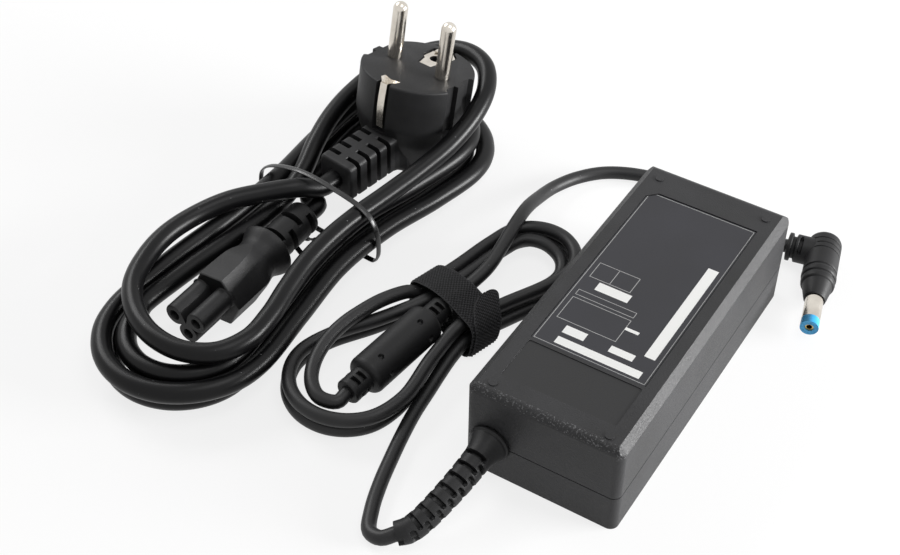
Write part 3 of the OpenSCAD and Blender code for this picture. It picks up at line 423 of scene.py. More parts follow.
def cord_jacket(name, low, high, roughness, wave, depth, specular):
    """PVC jacket: smooth with slow waves from the extruder, and a few specks of dust."""
    finish, tree, shader = new_finish(name, roughness, Specular_IOR_Level=specular)
    clouds = noise_at(tree, 11 * MM, 3)
    shades = blend_colours(tree, clouds, low, high)
    cells = add(tree, "ShaderNodeTexVoronoi", {
        "Vector": place(tree), "Scale": 1 / DUST_SPACE, "Randomness": 1.0,
    })
    near = maths(tree, "LESS_THAN", cells.outputs["Distance"], DUST_SIZE)
    tree.links.new(either(tree, near, shades, hex_colour(DUST)), shader.inputs["Base Color"])
    waves = noise_at(tree, wave, 2)
    tree.links.new(spread(tree, waves, roughness - 0.03, roughness + 0.04),
                   shader.inputs["Roughness"])
    bumped(tree, shader, waves, depth)
    return finish


def plated(name, low, high, roughness, line):
    """Metal, bare, plated or enamelled: bright, with fine upright marks."""
    finish, tree, shader = new_finish(name, roughness, metallic=1.0)
    clouds = noise_at(tree, 6 * MM, 2)
    tree.links.new(blend_colours(tree, clouds, low, high), shader.inputs["Base Color"])
    stretched = add(tree, "ShaderNodeMapping", {
        "Vector": place(tree), "Scale": (1 / line, 1 / line, 0.1 / line),
    }).outputs["Vector"]
    marks = add(tree, "ShaderNodeTexNoise", {"Vector": stretched, "Scale": 1.0, "Detail": 2.0})
    tree.links.new(spread(tree, marks.outputs["Fac"], roughness - 0.05, roughness + 0.1),
                   shader.inputs["Roughness"])
    bumped(tree, shader, marks.outputs["Fac"], 0.004 * MM)
    return finish


def woven(name, low, high):
    """Woven polyester strap with a short napped face: nearly black, dull, a soft sheen on the
    threads' tops, and painted shade in the pits between them."""
    finish, tree, shader = new_finish(name, 0.82, Specular_IOR_Level=0.3, Sheen_Weight=0.12,
                                      Sheen_Roughness=0.5)
    shader.inputs["Sheen Tint"].default_value = hex_colour("#8c8c90")
    fibres = noise_at(tree, 0.35 * MM, 3, 0.7)
    threads = blend_colours(tree, fibres, low, high)
    height = add(tree, "ShaderNodeNewGeometry").outputs["Pointiness"]
    raised = add(tree, "ShaderNodeMapRange", {
        "Value": height, "From Min": 0.47, "From Max": 0.53, "To Min": 0.0, "To Max": 1.0,
    }).outputs["Result"]
    # painted shade: the hollows, found from the mesh's pointiness, take the pit colour
    tree.links.new(either(tree, raised, hex_colour(PAINTED_PIT_SHADE), threads), shader.inputs["Base Color"])
    bumped(tree, shader, fibres, 0.08 * MM)
    return finish


FINISH = {
    # Spark-eroded ABS and polycarbonate: dark grey, dull, with a crisp grain.
    "case_plastic": case_plastic(),
    # Printed polyester film: smoother than the case, satin, a little blue.
    "label_film": label_film(),
    # Glass-filled nylon of the inlet: near black, dull, a touch coarse.
    "inlet_plastic": moulded("inlet_nylon", "#1b1b1d", "#242426", 0.5, 0.5 * MM, 0.02 * MM),
    # Nickel plate over brass: bright and a little warm, with fine marks from the tool.
    "plated_contact": plated("nickel_plate", "#c9c2b8", "#dcd6cc", 0.16, 0.2 * MM),
    # Glass-epoxy laminate under solder mask: green, smooth, faintly mottled by the weave.
    "board_laminate": moulded("board_laminate", "#2c5a36", "#37693f", 0.35, 0.8 * MM, 0.01 * MM),
    # Phenolic moulding of the fuse: brown and fairly glossy.
    "fuse_plastic": moulded("fuse_phenolic", "#5a3c26", "#6b4a2f", 0.3, 1 * MM, 0.01 * MM),
    # Flame-proofed polyester box: even yellow, half gloss.
    "yellow_plastic": moulded("capacitor_box_plastic", "#b98f1e", "#c9a227", 0.35,
                              1 * MM, 0.01 * MM),
    # Powder coat on the choke: green, soft at the edges, a little rough.
    "green_coating": moulded("choke_powder_coat", "#335033", "#3c5a3c", 0.4, 0.6 * MM, 0.03 * MM),
    # Copper under clear enamel: warm red-brown and shiny.
    "copper_wire": plated("enamelled_copper", "#a4572a", "#c0703a", 0.25, 0.3 * MM),
    # Epoxy moulded round the parts: dark grey and dull.
    "chip_epoxy": moulded("moulded_epoxy", "#202022", "#2a2a2c", 0.45, 0.4 * MM, 0.02 * MM),
    # Shrunk PVC sleeves: smooth and glossy, with slow waves.
    "blue_sleeve": moulded("blue_shrink_sleeve", "#263a5c", "#2f4670", 0.25, 2 * MM, 0.02 * MM),
    "green_sleeve": moulded("green_shrink_sleeve", "#1f3a26", "#294a30", 0.25, 2 * MM, 0.02 * MM),
    # Rolled aluminium sheet: pale, half bright, with marks from the rolls.
    "heat_sink_metal": plated("rolled_aluminium", "#b0b2b4", "#c3c5c7", 0.35, 0.4 * MM),
    # Sintered ferrite: dark grey, dull and a little gritty.
    "ferrite": moulded("sintered_ferrite", "#303032", "#3c3c3e", 0.6, 0.3 * MM, 0.03 * MM),
    # Polyester bobbin: cream, half gloss.
    "bobbin_plastic": moulded("bobbin_polyester", "#cfc8ac", "#dcd6bd", 0.4, 0.6 * MM, 0.01 * MM),
    # Polyester tape: bright yellow and glossy.
    "winding_tape": moulded("polyester_tape", "#cfa80c", "#e0bb20", 0.2, 3 * MM, 0.03 * MM),
    # Dipped coat on the disc: blue and glossy.
    "disc_ceramic": moulded("coated_disc", "#28539a", "#3264aa", 0.3, 0.6 * MM, 0.02 * MM),
    # Zinc plate on steel: pale, fairly bright.
    "screw_steel": plated("zinc_plated_steel", "#b9b7b2", "#cfcdc8", 0.25, 0.2 * MM),
    # Calendered insulating paper: cream and quite dull.
    "insulation_paper": moulded("insulation_paper", "#ded9c6", "#e9e5d5", 0.8,
                                0.4 * MM, 0.02 * MM),
    # Filled silicone pads: grey-blue, dull and soft.
    "thermal_rubber": moulded("thermal_pad_silicone", "#8e9baa", "#9aa7b5", 0.7,
                              0.4 * MM, 0.02 * MM),
    # PVC on the wires: red, half gloss.
    "red_insulation": moulded("wire_insulation", "#7c2722", "#93332d", 0.3, 1 * MM, 0.01 * MM),
    # Overmoulded thermoplastic rubber: dark and satin, with a soft grain.
    "relief_rubber": moulded("overmoulded_rubber", "#121213", "#19191a", 0.52, 0.35 * MM,
                             0.015 * MM, Specular_IOR_Level=0.27),
    # PVC jacket of the low-voltage cord: near black and dull, as drawn from the die.
    "matte_cord": cord_jacket("matte_pvc_jacket", "#131314", "#19191a", 0.46, 9 * MM,
                              0.01 * MM, 0.35),
    # Woven polyester: dark threads, with painted shade in the pits between them.
    "woven_strap": woven("woven_polyester", "#1e1e1f", "#3c3c3e"),
    # Moulded acetal insulator at the barrel's tip: clear mid blue, half gloss.
    "blue_plastic": moulded("blue_acetal", "#2a8fc4", "#37a2d6", 0.3, 1 * MM, 0.01 * MM),
    # Bare brass: yellow, half bright.
    "brass_contact": plated("contact_brass", "#b79b5a", "#cdb478", 0.3, 0.2 * MM),
    # PVC plug moulding off an etched tool: black, dull, with a fine even grain.
    "plug_rubber": moulded("etched_pvc", "#101011", "#1a1a1b", 0.52, 0.4 * MM, 0.035 * MM,
                           Specular_IOR_Level=0.28),
    # PVC jacket of the mains cord: black, smoother, with clear highlights.
    "gloss_cord": cord_jacket("gloss_pvc_jacket", "#070708", "#0a0a0b", 0.34, 20 * MM,
                              0.001 * MM, 0.19),
    # PVC over the tie's wire: black, half gloss.
    "tie_plastic": moulded("tie_pvc", "#0f0f10", "#171718", 0.3, 1 * MM, 0.02 * MM),
}


# ---------- the two cords ----------
DC_D = 4.2 * MM
AC_D = 6.2 * MM
GLAND = Vector((-15, -53.5, 12.35)) * MM
RELIEF_PATH = [GLAND + p for p in mm(
    (0, 0, 0), (0, -4.5, -0.1), (-0.2, -8.5, -0.5), (-0.6, -12.5, -1.3), (-1.2, -16.5, -2.3),
    (-2, -20.5, -3.5), (-3, -24.5, -4.9), (-4.2, -28.1, -6.3), (-5.8, -31.3, -7.4),
    (-8.2, -33.4, -8.2))]
# Lengths in millimetres, way in degrees. begins is where in a loop the cord comes in, z0 and
# z1 are its first and last height, lift its rise at the waist, way where its top points and
# x, y its middle. inwards: it spirals in and then out, or else out and then in. The bends
# are how far its top and bottom lean to the right.
DC_HANK = SimpleNamespace(
    loops=2.5, begins=0, pitch=4.65, top=51, bottom=57, waist=10.5, top_r=14, low_r=20.5,
    z0=2.1, z1=6.75, lift=2.1, way=74, x=-54, y=-14, inwards=True, top_bend=0, low_bend=0)
AC_HANK = SimpleNamespace(
    loops=2.85, begins=0.6, pitch=6.75, top=81, bottom=83, waist=21, top_r=27, low_r=26,
    z0=9.8, z1=3.1, lift=1.8, way=87.5, x=-111, y=-5, inwards=False, top_bend=3, low_bend=6)
PER_LOOP = 24
LIFT_WIDTH = 30             # millimetres either side of the waist
BEND_FROM = 20              # millimetres from the waist to where a bend begins
STRAIGHT = 0.4              # share of a quarter loop before its turn
RUN_IN = 3 * MM             # how far a cord runs on into the piece at its end


def hank_point(h, t):
    """A point of a hank after t loops: loops drawn in at the waist, in two layers that
    change over half a loop in the middle."""
    turn = (t + h.begins) % 1
    quarter = math.floor(turn * 4 + 1e-6) % 4
    part = max(0.0, min(1.0, turn * 4 - math.floor(turn * 4 + 1e-6)))
    q = 1 - part if quarter in (1, 3) else part
    up = quarter < 2
    reach, r, bend = (h.top, h.top_r, h.top_bend) if up else (h.bottom, h.low_r, h.low_bend)
    inset = h.pitch * (min(t, h.loops - t) if h.inwards else abs(t - h.loops / 2))
    a = math.radians((q - STRAIGHT) / (1 - STRAIGHT) * 90)
    if q < STRAIGHT:
        u = h.waist + (r - h.waist) * smooth(q / STRAIGHT) - inset
        v = (reach - r) * q / STRAIGHT
    else:
        u = (r - inset) * math.cos(a)
        v = reach - r + (r - inset) * math.sin(a)
    u = u if quarter in (0, 3) else -u
    z = h.z0 + (h.z1 - h.z0) * smooth((t - (h.loops / 2 - 0.25)) / 0.5)
    z += h.lift * smooth(1 - abs(v) / LIFT_WIDTH)
    share = max(0.0, (v - BEND_FROM) / (reach - BEND_FROM))
    slope = 2 * bend * share / (reach - BEND_FROM)
    v -= u * slope / math.hypot(1, slope)
    u = u / math.hypot(1, slope) + bend * share ** 2
    v = v if up else -v
    sn, cs = math.sin(math.radians(h.way)), math.cos(math.radians(h.way))
    return Vector((h.x + u * sn + v * cs, h.y - u * cs + v * sn, z)) * MM


def hank_path(h):
    n = round(h.loops * PER_LOOP)
    return [hank_point(h, h.loops * i / n) for i in range(n + 1)]


FERRITE_A = Vector((-58.8, -49, 8.1)) * MM
FERRITE_DIR = Vector((3.6, 27.9, 0.9)).normalized()
FERRITE_L = 28 * MM
BOOT_L = 7 * MM
PLUG_IN = Vector((19, 68.8, 5.3)) * MM
ELBOW = Vector((30, 71, 5.3)) * MM
ARM_DIR = (ELBOW - PLUG_IN).normalized()
DC_START = mm((-30.3, -88.8, 2.3), (-33.8, -82.6, 2.1), (-36.8, -74, 2.1), (-38.9, -66, 2.1),
              (-41, -57, 2.1), (-42.7, -48, 2.1), (-43.7, -38.5, 2.4), (-44.2, -32, 3.1),
              (-44.5, -25, 3.8))
DC_BEND = mm((-66.2, -15.2, 10.2), (-68.4, -19.6, 11), (-70.4, -24.2, 11.3), (-72.2, -30, 11.4),
             (-73.8, -37, 11.3), (-74.4, -45, 10.6), (-73, -53, 9.4), (-69.6, -58.8, 8.6),
             (-65, -61.6, 8.1))
DC_END = mm((-50.6, 4, 11.8), (-51.6, 14, 11.7), (-53.4, 25, 11.6), (-55.2, 36, 10),
            (-56.6, 47, 6), (-56.2, 57, 3.4), (-53, 66, 2.2), (-47, 73, 2.1), (-39, 77.5, 2.1),
            (-29, 80, 2.1), (-18, 80.5, 2.1), (-8, 79, 2.1), (1, 76.2, 2.5), (8, 72.6, 4))
BOOT_START = Vector((-107.2, 32.9, 14.1)) * MM
BOOT_END = Vector((-110.5, 12, 14.6)) * MM
C5_END = Vector((-112, -2.6, 9)) * MM
C5_DIR = Vector((-1.4, -60, 0)).normalized()
AC_START = mm((-116, -0.8, 17.2), (-123.2, -8.4, 17.3), (-130, -17, 17.2), (-134.8, -27, 16.5),
              (-136.8, -38, 16.4), (-135.6, -49, 16.4), (-131.5, -60, 16.4), (-123.5, -68.5, 16.4),
              (-113.4, -73.3, 16.4), (-102.5, -73.6, 16.4), (-94, -69, 16.4), (-89.8, -60, 16.4),
              (-90.2, -49.5, 16.4), (-92.5, -38, 16.4), (-94.4, -25.5, 16.4), (-94.6, -13, 16.4),
              (-93.5, -1, 16.4), (-90.8, 12, 17), (-87.5, 26, 18.6), (-84.8, 39, 21), (-84, 52, 24.4),
              (-86.2, 63, 27), (-92, 71.5, 28.4), (-101, 75.6, 28), (-111, 75.2, 25.4),
              (-120, 69.5, 22), (-126.4, 59.5, 19.5), (-128.4, 47.5, 18), (-127.8, 35, 17),
              (-125.4, 23, 15.6), (-122.6, 11, 12.4), (-121.9, 0, 9.9), (-122.4, -11, 9.5),
              (-123.9, -23, 9.5), (-126, -35, 9.5), (-127.5, -46, 9.5))
AC_END = mm((-116.6, 6.4, 7))
CORD_STEP = 1.2 * MM


def straight_on(a, b, d):
    """A point d past b on the way from a."""
    return b + (b - a).normalized() * d


def make_cord(name, route, diameter, finish, body):
    data = bpy.data.curves.new(name, "CURVE")
    data.dimensions = "3D"
    data.bevel_depth = diameter / 2
    data.bevel_resolution = 7
    data.use_fill_caps = True
    data.twist_mode = "MINIMUM"
    spline = data.splines.new("POLY")
    spline.points.add(len(route) - 1)
    for point, at in zip(spline.points, route):
        point.co = (*at, 1)
    spline.use_smooth = True
    obj = bpy.data.objects.new(name, data)
    bpy.context.scene.collection.objects.link(obj)
    data.materials.append(finish)
    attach(obj, body)
    return obj


def dc_route():
    hank = hank_path(DC_HANK)
    ferrite_in = FERRITE_A - FERRITE_DIR * BOOT_L
    ferrite_out = FERRITE_A + FERRITE_DIR * (FERRITE_L + BOOT_L)
    relief_end = RELIEF_PATH[-1]
    leave = (relief_end - RELIEF_PATH[-2]).normalized()
    return ([relief_end - leave * RUN_IN, relief_end, relief_end + leave * DC_D] + DC_START
            + hank + [straight_on(hank[-2], hank[-1], 1.5 * MM)] + DC_BEND
            + [ferrite_in - FERRITE_DIR * DC_D, ferrite_in]
            + [ferrite_out, ferrite_out + FERRITE_DIR * DC_D]
            + DC_END + [PLUG_IN - ARM_DIR * DC_D, PLUG_IN, PLUG_IN + ARM_DIR * RUN_IN])


def ac_route():
    hank = hank_path(AC_HANK)
    leave = (BOOT_END - BOOT_START).normalized()
    into = straight_on(hank[1], hank[0], AC_D / 2)
    out = straight_on(hank[-2], hank[-1], AC_D)
    return ([BOOT_END - leave * RUN_IN, BOOT_END, BOOT_END + leave * AC_D] + AC_START + [into]
            + hank + [out] + AC_END + [C5_END - C5_DIR * AC_D, C5_END, C5_END + C5_DIR * RUN_IN])


DC_LINE = curve_through(dc_route(), CORD_STEP)
AC_LINE = curve_through(ac_route(), CORD_STEP)
dc_cord = make_cord("low_voltage_cord", DC_LINE, DC_D, FINISH["matte_cord"], ADAPTER)
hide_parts("dc_cord_start", "dc_cord_hank", "dc_cord_bend", "dc_cord_end")
ac_cord = make_cord("mains_cord", AC_LINE, AC_D, FINISH["gloss_cord"], LEAD)
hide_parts("mains_cord_start", "mains_cord_hank", "mains_cord_end")


# ---------- strain relief ----------
RELIEF_LINE = curve_through(RELIEF_PATH, 0.3 * MM)
RELIEF_L = path_length(RELIEF_LINE)
RELIEF_SEAT = 5.2 * MM
RELIEF_SLOTS = 14
SLOTS_FROM = 6.5 * MM
SLOTS_TO = RELIEF_L - 2.9 * MM
RELIEF_SLOT_R = 0.68 * MM
TOP_REACH = 60              # degrees that a slot reaches either side of its middle
SIDE_REACH = 46
RELIEF_WALL = 0.3 * MM      # left over the cord in the slots
NOTCH_L = 1.6 * MM          # flats at the end of the relief
NOTCH_TURN = 16
NOTCH_R = 2.6 * MM
# distance from the wall, radius
RELIEF_ROWS = [(s * MM, r * MM) for s, r in (
    (-5.2, 5.6), (-3.81, 5.6), (-3.8, 4.7), (0, 4.7), (0.01, 5.7), (0.2, 5.9), (0.9, 5.9),
    (1.15, 5.75), (1.2, 5.45), (1.8, 5.35), (2.6, 5.02), (3.6, 4.66), (4.8, 4.32), (6, 4.1),
    (7, 4))] + [(SLOTS_TO, 3.55 * MM), (RELIEF_L - 2.6 * MM, 3.5 * MM), (RELIEF_L, 3.3 * MM)]


def relief_radius(s, a):
    """Slots by turns across the top and bottom and across the two sides, down to the cord."""
    r = profile(RELIEF_ROWS, s)
    floor = DC_D / 2 + RELIEF_WALL
    pitch = (SLOTS_TO - SLOTS_FROM) / RELIEF_SLOTS
    for i in range(RELIEF_SLOTS):
        off = s - SLOTS_FROM - (i + 0.5) * pitch
        if abs(off) > RELIEF_SLOT_R:
            continue
        wide = i % 2 == 0
        for middle in ((90, 270) if wide else (0, 180)):
            turn = math.radians(apart(a, middle)) * r
            reach = math.radians(TOP_REACH if wide else SIDE_REACH) * r
            r = mix(r, floor, slot_in(off, turn, RELIEF_SLOT_R, reach))
    if s > RELIEF_L - NOTCH_L and min(apart(a, 0), apart(a, 180)) < NOTCH_TURN:
        r = min(r, NOTCH_R)
    return r


relief = piece("strain_relief",
               skin(swept(RELIEF_LINE, relief_radius, 0.16 * MM, 112, -RELIEF_SEAT)),
               FINISH["relief_rubber"], ADAPTER, ["dc_strain_relief"], 50)


# ---------- ferrite cover ----------
FERRITE_LINE = [FERRITE_A - FERRITE_DIR * BOOT_L, FERRITE_A + FERRITE_DIR * (FERRITE_L + BOOT_L)]
# distance from the cover's end, radius
FERRITE_END = [(z * MM, r * MM) for z, r in (
    (0, 4.5), (0.08, 5), (0.3, 5.4), (0.7, 5.72), (1.2, 5.92), (1.7, 6))]
# the same for its boots, which lie before its end
FERRITE_BOOT = [(-BOOT_L, 3.55 * MM), (0.4 * MM - BOOT_L, 3.85 * MM), (0, 3.95 * MM)]
LADDER = [1.9 * MM, 4.3 * MM]           # where the boots' windows lie
LADDER_TURNS = (72, 162, 252, 342)
LADDER_HALF = 1.75 * MM                 # half a window round the boot
LADDER_HALF_L = 0.72 * MM               # and along it
LADDER_FLOOR = 2.4 * MM
PIN_HOLE_R = 0.85 * MM
PIN_HOLE_IN = 5.5 * MM
PIN_HOLE_TURNS = (10, 70, 190)
PIN_HOLE_FLOOR = 5 * MM


def ferrite_radius(s, a):
    z = min(s - BOOT_L, FERRITE_L + BOOT_L - s)
    if z < 0:
        r = profile(FERRITE_BOOT, z)
        for at in LADDER:
            for middle in LADDER_TURNS:
                off = math.radians(apart(a, middle)) * r
                gap = min(LADDER_HALF - off, LADDER_HALF_L - abs(-z - at))
                r = mix(r, LADDER_FLOOR, smooth(gap / (0.15 * MM)))
        return r
    r = profile(FERRITE_END, z)
    for at in (PIN_HOLE_IN, FERRITE_L - PIN_HOLE_IN):
        for middle in PIN_HOLE_TURNS:
            off = math.hypot(s - BOOT_L - at, math.radians(apart(a, middle)) * r)
            r = mix(r, PIN_HOLE_FLOOR, smooth((PIN_HOLE_R - off) / (0.16 * MM)))
    return r


ferrite = piece("ferrite_housing", skin(swept(FERRITE_LINE, ferrite_radius, 0.2 * MM, 168)),
                FINISH["relief_rubber"], ADAPTER, ["ferrite_cover"], 50)


# ---------- hook and loop strap ----------
STRAP_W = 10.8 * MM
STRAP_T = 1 * MM
STRAP_Y = 4.1 * MM          # the middle of the band, along the bundle
THREAD = 1.05 * MM          # finer in truth; as fine as shows
THREAD_H = 0.36 * MM
STRAP_FRAME = (Matrix.Translation(Vector((DC_HANK.x, DC_HANK.y, 0)) * MM)
               @ Matrix.Rotation(math.radians(DC_HANK.way - 90), 4, "Z"))
# the middle of the band's thickness, with how far it leans along the bundle
STRAP_LOOP = mm((0, 0, 0.5), (8, -1.8, 0.5), (12.4, -2.2, 0.6), (13.8, -1.9, 1.8), (14, -1.4, 4),
                (14, -0.7, 7.4), (13.6, -0.3, 9.3), (12.2, 0, 10.8), (9, 0, 12), (5, 0, 13.2),
                (2, 0, 14), (-1.5, 0, 14.1), (-5, 0, 13.9), (-8.5, 0, 13.1), (-11.3, 0, 12.1),
                (-13.1, 0, 10.6), (-13.9, 0, 8.6), (-14, 0, 5), (-13.9, 0, 2), (-12.8, 0, 0.7),
                (-8, 0, 0.5), (0, 0, 0.5))
# the free end, laid over the loop's side from the roof down towards the floor
STRAP_END = mm((6.4, 5.8, 13.4), (8, 4.8, 13.1), (9.8, 3.4, 12.65), (11.6, 1.9, 12.1),
               (13.3, 0.7, 11.2), (14.5, 0, 9.8), (14.95, -0.4, 8), (15, -0.9, 5.5),
               (14.95, -1.5, 3.4), (14.4, -2, 1.7))


def weave(u, v):
    """Height of the threads' tops: rows of small pits, set off by half from row to row."""
    p = math.cos(math.tau * u / THREAD) * math.cos(math.tau * v / THREAD / 1.15)
    return smooth(0.5 + 0.62 * p) * THREAD_H


def band(line, width, thick, closed, round_end=0.0):
    """A woven band along a line, its width along Y; round_end rounds its first end."""
    line = curve_through(line, 0.15 * MM)
    length = path_length(line)
    rows_n = round(length / (0.21 * MM))
    count = round(width / (0.24 * MM))
    bm = bmesh.new()
    rows = []
    spots = [length * i / rows_n for i in range(rows_n if closed else rows_n + 1)]
    for s, (at, heading) in zip(spots, evenly(line, spots)):
        out = heading.cross(Vector((0, 1, 0)))
        out = Vector((out.x, 0, out.z)).normalized()
        if closed and not rows:
            out = Vector((0, 0, -1))
        cut = 0.0
        if s < round_end:
            cut = round_end - math.sqrt(max(0.0, round_end ** 2 - (round_end - s) ** 2))
        row = []
        for face in (1, 0):
            for j in range(count + 1):
                v = (j if face else count - j) / count * (width - 2 * cut) + cut
                edge = smooth(min(v - cut, width - cut - v) / (0.6 * MM))
                rise = (thick / 2 - THREAD_H + weave(s, v) * edge) * (1 if face else -1)
                rise *= mix(0.6, 1, edge)
                row.append(bm.verts.new(STRAP_FRAME @ (
                    at + out * rise + Vector((0, STRAP_Y - width / 2 + v, 0)))))
        rows.append(row)
    n = len(rows[0])
    for i in range(len(rows) if closed else len(rows) - 1):
        a, b = rows[i], rows[(i + 1) % len(rows)]
        for k in range(n):
            bm.faces.new((a[k], a[(k + 1) % n], b[(k + 1) % n], b[k]))
    if not closed:
        bm.faces.new(list(reversed(rows[0])))
        bm.faces.new(rows[-1])
    bmesh.ops.recalc_face_normals(bm, faces=bm.faces)
    return bm


joined("strap", [band(STRAP_LOOP, STRAP_W, STRAP_T, True),
                 band(STRAP_END, STRAP_W - 0.6 * MM, 0.9 * MM, False, 4 * MM)],
       FINISH["woven_strap"], ADAPTER, ["hook_and_loop_strap"], 60)


# ---------- low-voltage plug ----------
HEAD_DIR = Vector((0.26, -0.966, 0)).normalized()
HEAD_L = 27 * MM
HEAD_BACK = 6 * MM
ARM_LINE = [PLUG_IN, ELBOW]
HEAD_LINE = [ELBOW - HEAD_DIR * HEAD_BACK, ELBOW + HEAD_DIR * (HEAD_L - HEAD_BACK)]
ARM_ROWS = [(s * MM, r * MM) for s, r in (
    (0, 3.1), (0.05, 3.9), (0.3, 4.35), (1.2, 4.4), (1.5, 4.2), (1.6, 3.4), (2.5, 3.4), (2.6, 4.2),
    (2.9, 4.4), (30, 4.4))]
HEAD_ROWS = [(s * MM, r * MM) for s, r in (
    (0, 3.2), (0.15, 4), (0.45, 4.55), (0.9, 4.9), (1.6, 5.15), (2.6, 5.2), (14.6, 5.2), (14.9, 5.1),
    (15.15, 4.75), (15.5, 4.75), (15.8, 5.15), (16.4, 5.3), (17.3, 5.3), (17.8, 5.1), (18.05, 4.7),
    (18.4, 4.7), (18.7, 5.05), (19.3, 5.15), (20.2, 5.05), (20.6, 4.85), (21, 4.45), (21.6, 4.35),
    (23.4, 4), (25.6, 3.55), (26.6, 3.3), (27, 3.1))]
FINE_GROOVES = (3.6 * MM, 5.7 * MM, 7.8 * MM)
GROOVE_HALF = 0.28 * MM
GROOVE_DEEP = 0.28 * MM
ARM_SLOT_AT = 4.1 * MM
ARM_SLOT_TURNS = (60, 240)
ARM_SLOT_R = 0.6 * MM
ARM_SLOT_REACH = 3.2 * MM
ARM_SLOT_FLOOR = 3.2 * MM


def arm_radius(s, a):
    r = profile(ARM_ROWS, s)
    off = math.radians(min(apart(a, turn) for turn in ARM_SLOT_TURNS)) * r
    return mix(r, ARM_SLOT_FLOOR, slot_in(s - ARM_SLOT_AT, off, ARM_SLOT_R, ARM_SLOT_REACH))


def head_radius(s, a):
    r = profile(HEAD_ROWS, s)
    for at in FINE_GROOVES:
        cut = GROOVE_DEEP * smooth((GROOVE_HALF - abs(s - at)) / (0.2 * MM))
        r -= cut * smooth((150 - apart(a, 180)) / 20)
    return r


dc_plug = joined("barrel_plug", [skin(swept(ARM_LINE, arm_radius, 0.16 * MM, 96)),
                                 skin(swept(HEAD_LINE, head_radius, 0.1 * MM, 96))],
                 FINISH["relief_rubber"], ADAPTER, ["dc_plug_body"])


# ---------- mains plug ----------
PLUG = (Matrix.Translation(Vector((-105.5, 52.5, 34.5)) * MM)
        @ Matrix.Rotation(math.radians(-5), 4, "Z") @ Matrix.Rotation(math.radians(-12), 4, "X"))
FACE_R = 18.4 * MM
DRUM_L = 32 * MM
GUIDE_X = 15.7 * MM
GUIDE_W = 6.7 * MM
GUIDE_RIB = 1.8 * MM
RIB_X = 17.2 * MM
SLOT_HALF = 2.2 * MM
SLOT_DEEP = 1.6 * MM
SLOT_L = 17 * MM
GUIDE_END = 15.4 * MM       # the guides run out into the drum from here
GUIDE_FADE = 1.4 * MM
DRUM_ROWS = [(s * MM, r * MM) for s, r in (
    (0, 17.85), (0.12, 18.15), (0.35, 18.34), (0.7, 18.4), (14.6, 18.4), (15.4, 18.25), (19.6, 17.1),
    (20.6, 16.85), (23, 15.7), (31, 11.9), (31.7, 11.4), (32, 10.9))]


def drum_radius(z, a):
    """The drum's rounded body with the flats and ribs of its side guides and its clip slots."""
    r = profile(DRUM_ROWS, z)
    c, s = math.cos(math.radians(a)), math.sin(math.radians(a))
    if z < SLOT_L and abs(r * s) < GUIDE_W and abs(c) > 0.5:
        flat = RIB_X if abs(r * s) < GUIDE_RIB else GUIDE_X
        if z > GUIDE_END:
            flat = mix(flat, r, smooth((z - GUIDE_END) / GUIDE_FADE))
        r = min(r, flat / abs(c))
    if abs(r * c) < SLOT_HALF and z < SLOT_L:
        r -= SLOT_DEEP
    return r


def turned(matrix, radius, stations, angles):
    """Rings about a frame's axis, going down it from its origin."""
    return [[matrix @ Vector((math.cos(math.radians(a)) * radius(z, a),
                              math.sin(math.radians(a)) * radius(z, a), -z)) for a in angles]
            for z in stations]


def steps(start, end, step):
    count = max(1, round((end - start) / step))
    return [mix(start, end, i / count) for i in range(count)]


def extruded(matrix, outline, low, high, grow=0.0):
    """A plate with an outline in a frame's XY plane, from low to high along its axis."""
    middle = sum((Vector((x, y, 0)) for x, y in outline), Vector()) / len(outline)
    rings = []
    for z in (low, high):
        ring = []
        for x, y in outline:
            off = Vector((x, y, 0)) - middle
            ring.append(matrix @ (middle + off + off.normalized() * grow + Vector((0, 0, z))))
        rings.append(ring)
    return skin(rings)


CIRCLE_SIDES = 40


def circle(x, y, r):
    turns = [math.tau * k / CIRCLE_SIDES for k in range(CIRCLE_SIDES)]
    return [(x + r * math.cos(a), y + r * math.sin(a)) for a in turns]


def cut_from(bm, cutters):
    """The solid less the cutters, both bmeshes."""
    objs = []
    for part in [bm] + cutters:
        mesh = bpy.data.meshes.new("cut")
        part.to_mesh(mesh)
        part.free()
        obj = bpy.data.objects.new("cut", mesh)
        bpy.context.scene.collection.objects.link(obj)
        objs.append(obj)
    for cutter in objs[1:]:
        way = objs[0].modifiers.new("cut", "BOOLEAN")
        way.object = cutter
        way.operation = "DIFFERENCE"
        way.solver = "EXACT"
    out = bmesh.new()
    out.from_object(objs[0], bpy.context.evaluated_depsgraph_get())
    for obj in objs:
        mesh = obj.data
        bpy.data.objects.remove(obj)
        bpy.data.meshes.remove(mesh)
    return out


EARTH_PLATE = [(x * MM, y * MM) for x, y in (
    (-2.4, 3.4), (2.6, 3.4), (3.2, 8), (4.4, 9), (4.4, 14.5), (2, 16.6), (-2, 16.6),
    (-4.4, 14.5), (-4.4, 9), (-3.2, 8))]
EARTH_AT = 10 * MM
EARTH_R = 2.5 * MM          # the socket; the plate's own hole is a little smaller
EARTH_HOLE = 2.2 * MM
drum_angles = [360 * (k + 0.5) / 300 for k in range(300)]
drum_stations = (steps(0, 0.8 * MM, 0.13 * MM) + steps(0.8 * MM, 14.6 * MM, 1.4 * MM)
                 + steps(14.6 * MM, 16.9 * MM, 0.3 * MM) + [16.9 * MM, 17.02 * MM]
                 + steps(17.3 * MM, DRUM_L, 0.9 * MM) + [DRUM_L])
drum = skin(turned(PLUG, drum_radius, drum_stations, drum_angles))
drum = cut_from(drum, [
    extruded(PLUG, EARTH_PLATE, -1 * MM, 1 * MM, 0.45 * MM),
    extruded(PLUG, circle(0, EARTH_AT, EARTH_R), -16.9 * MM, 1 * MM),
])

BOOT_DIR = (BOOT_END - BOOT_START).normalized()
BOOT_IN = 9 * MM
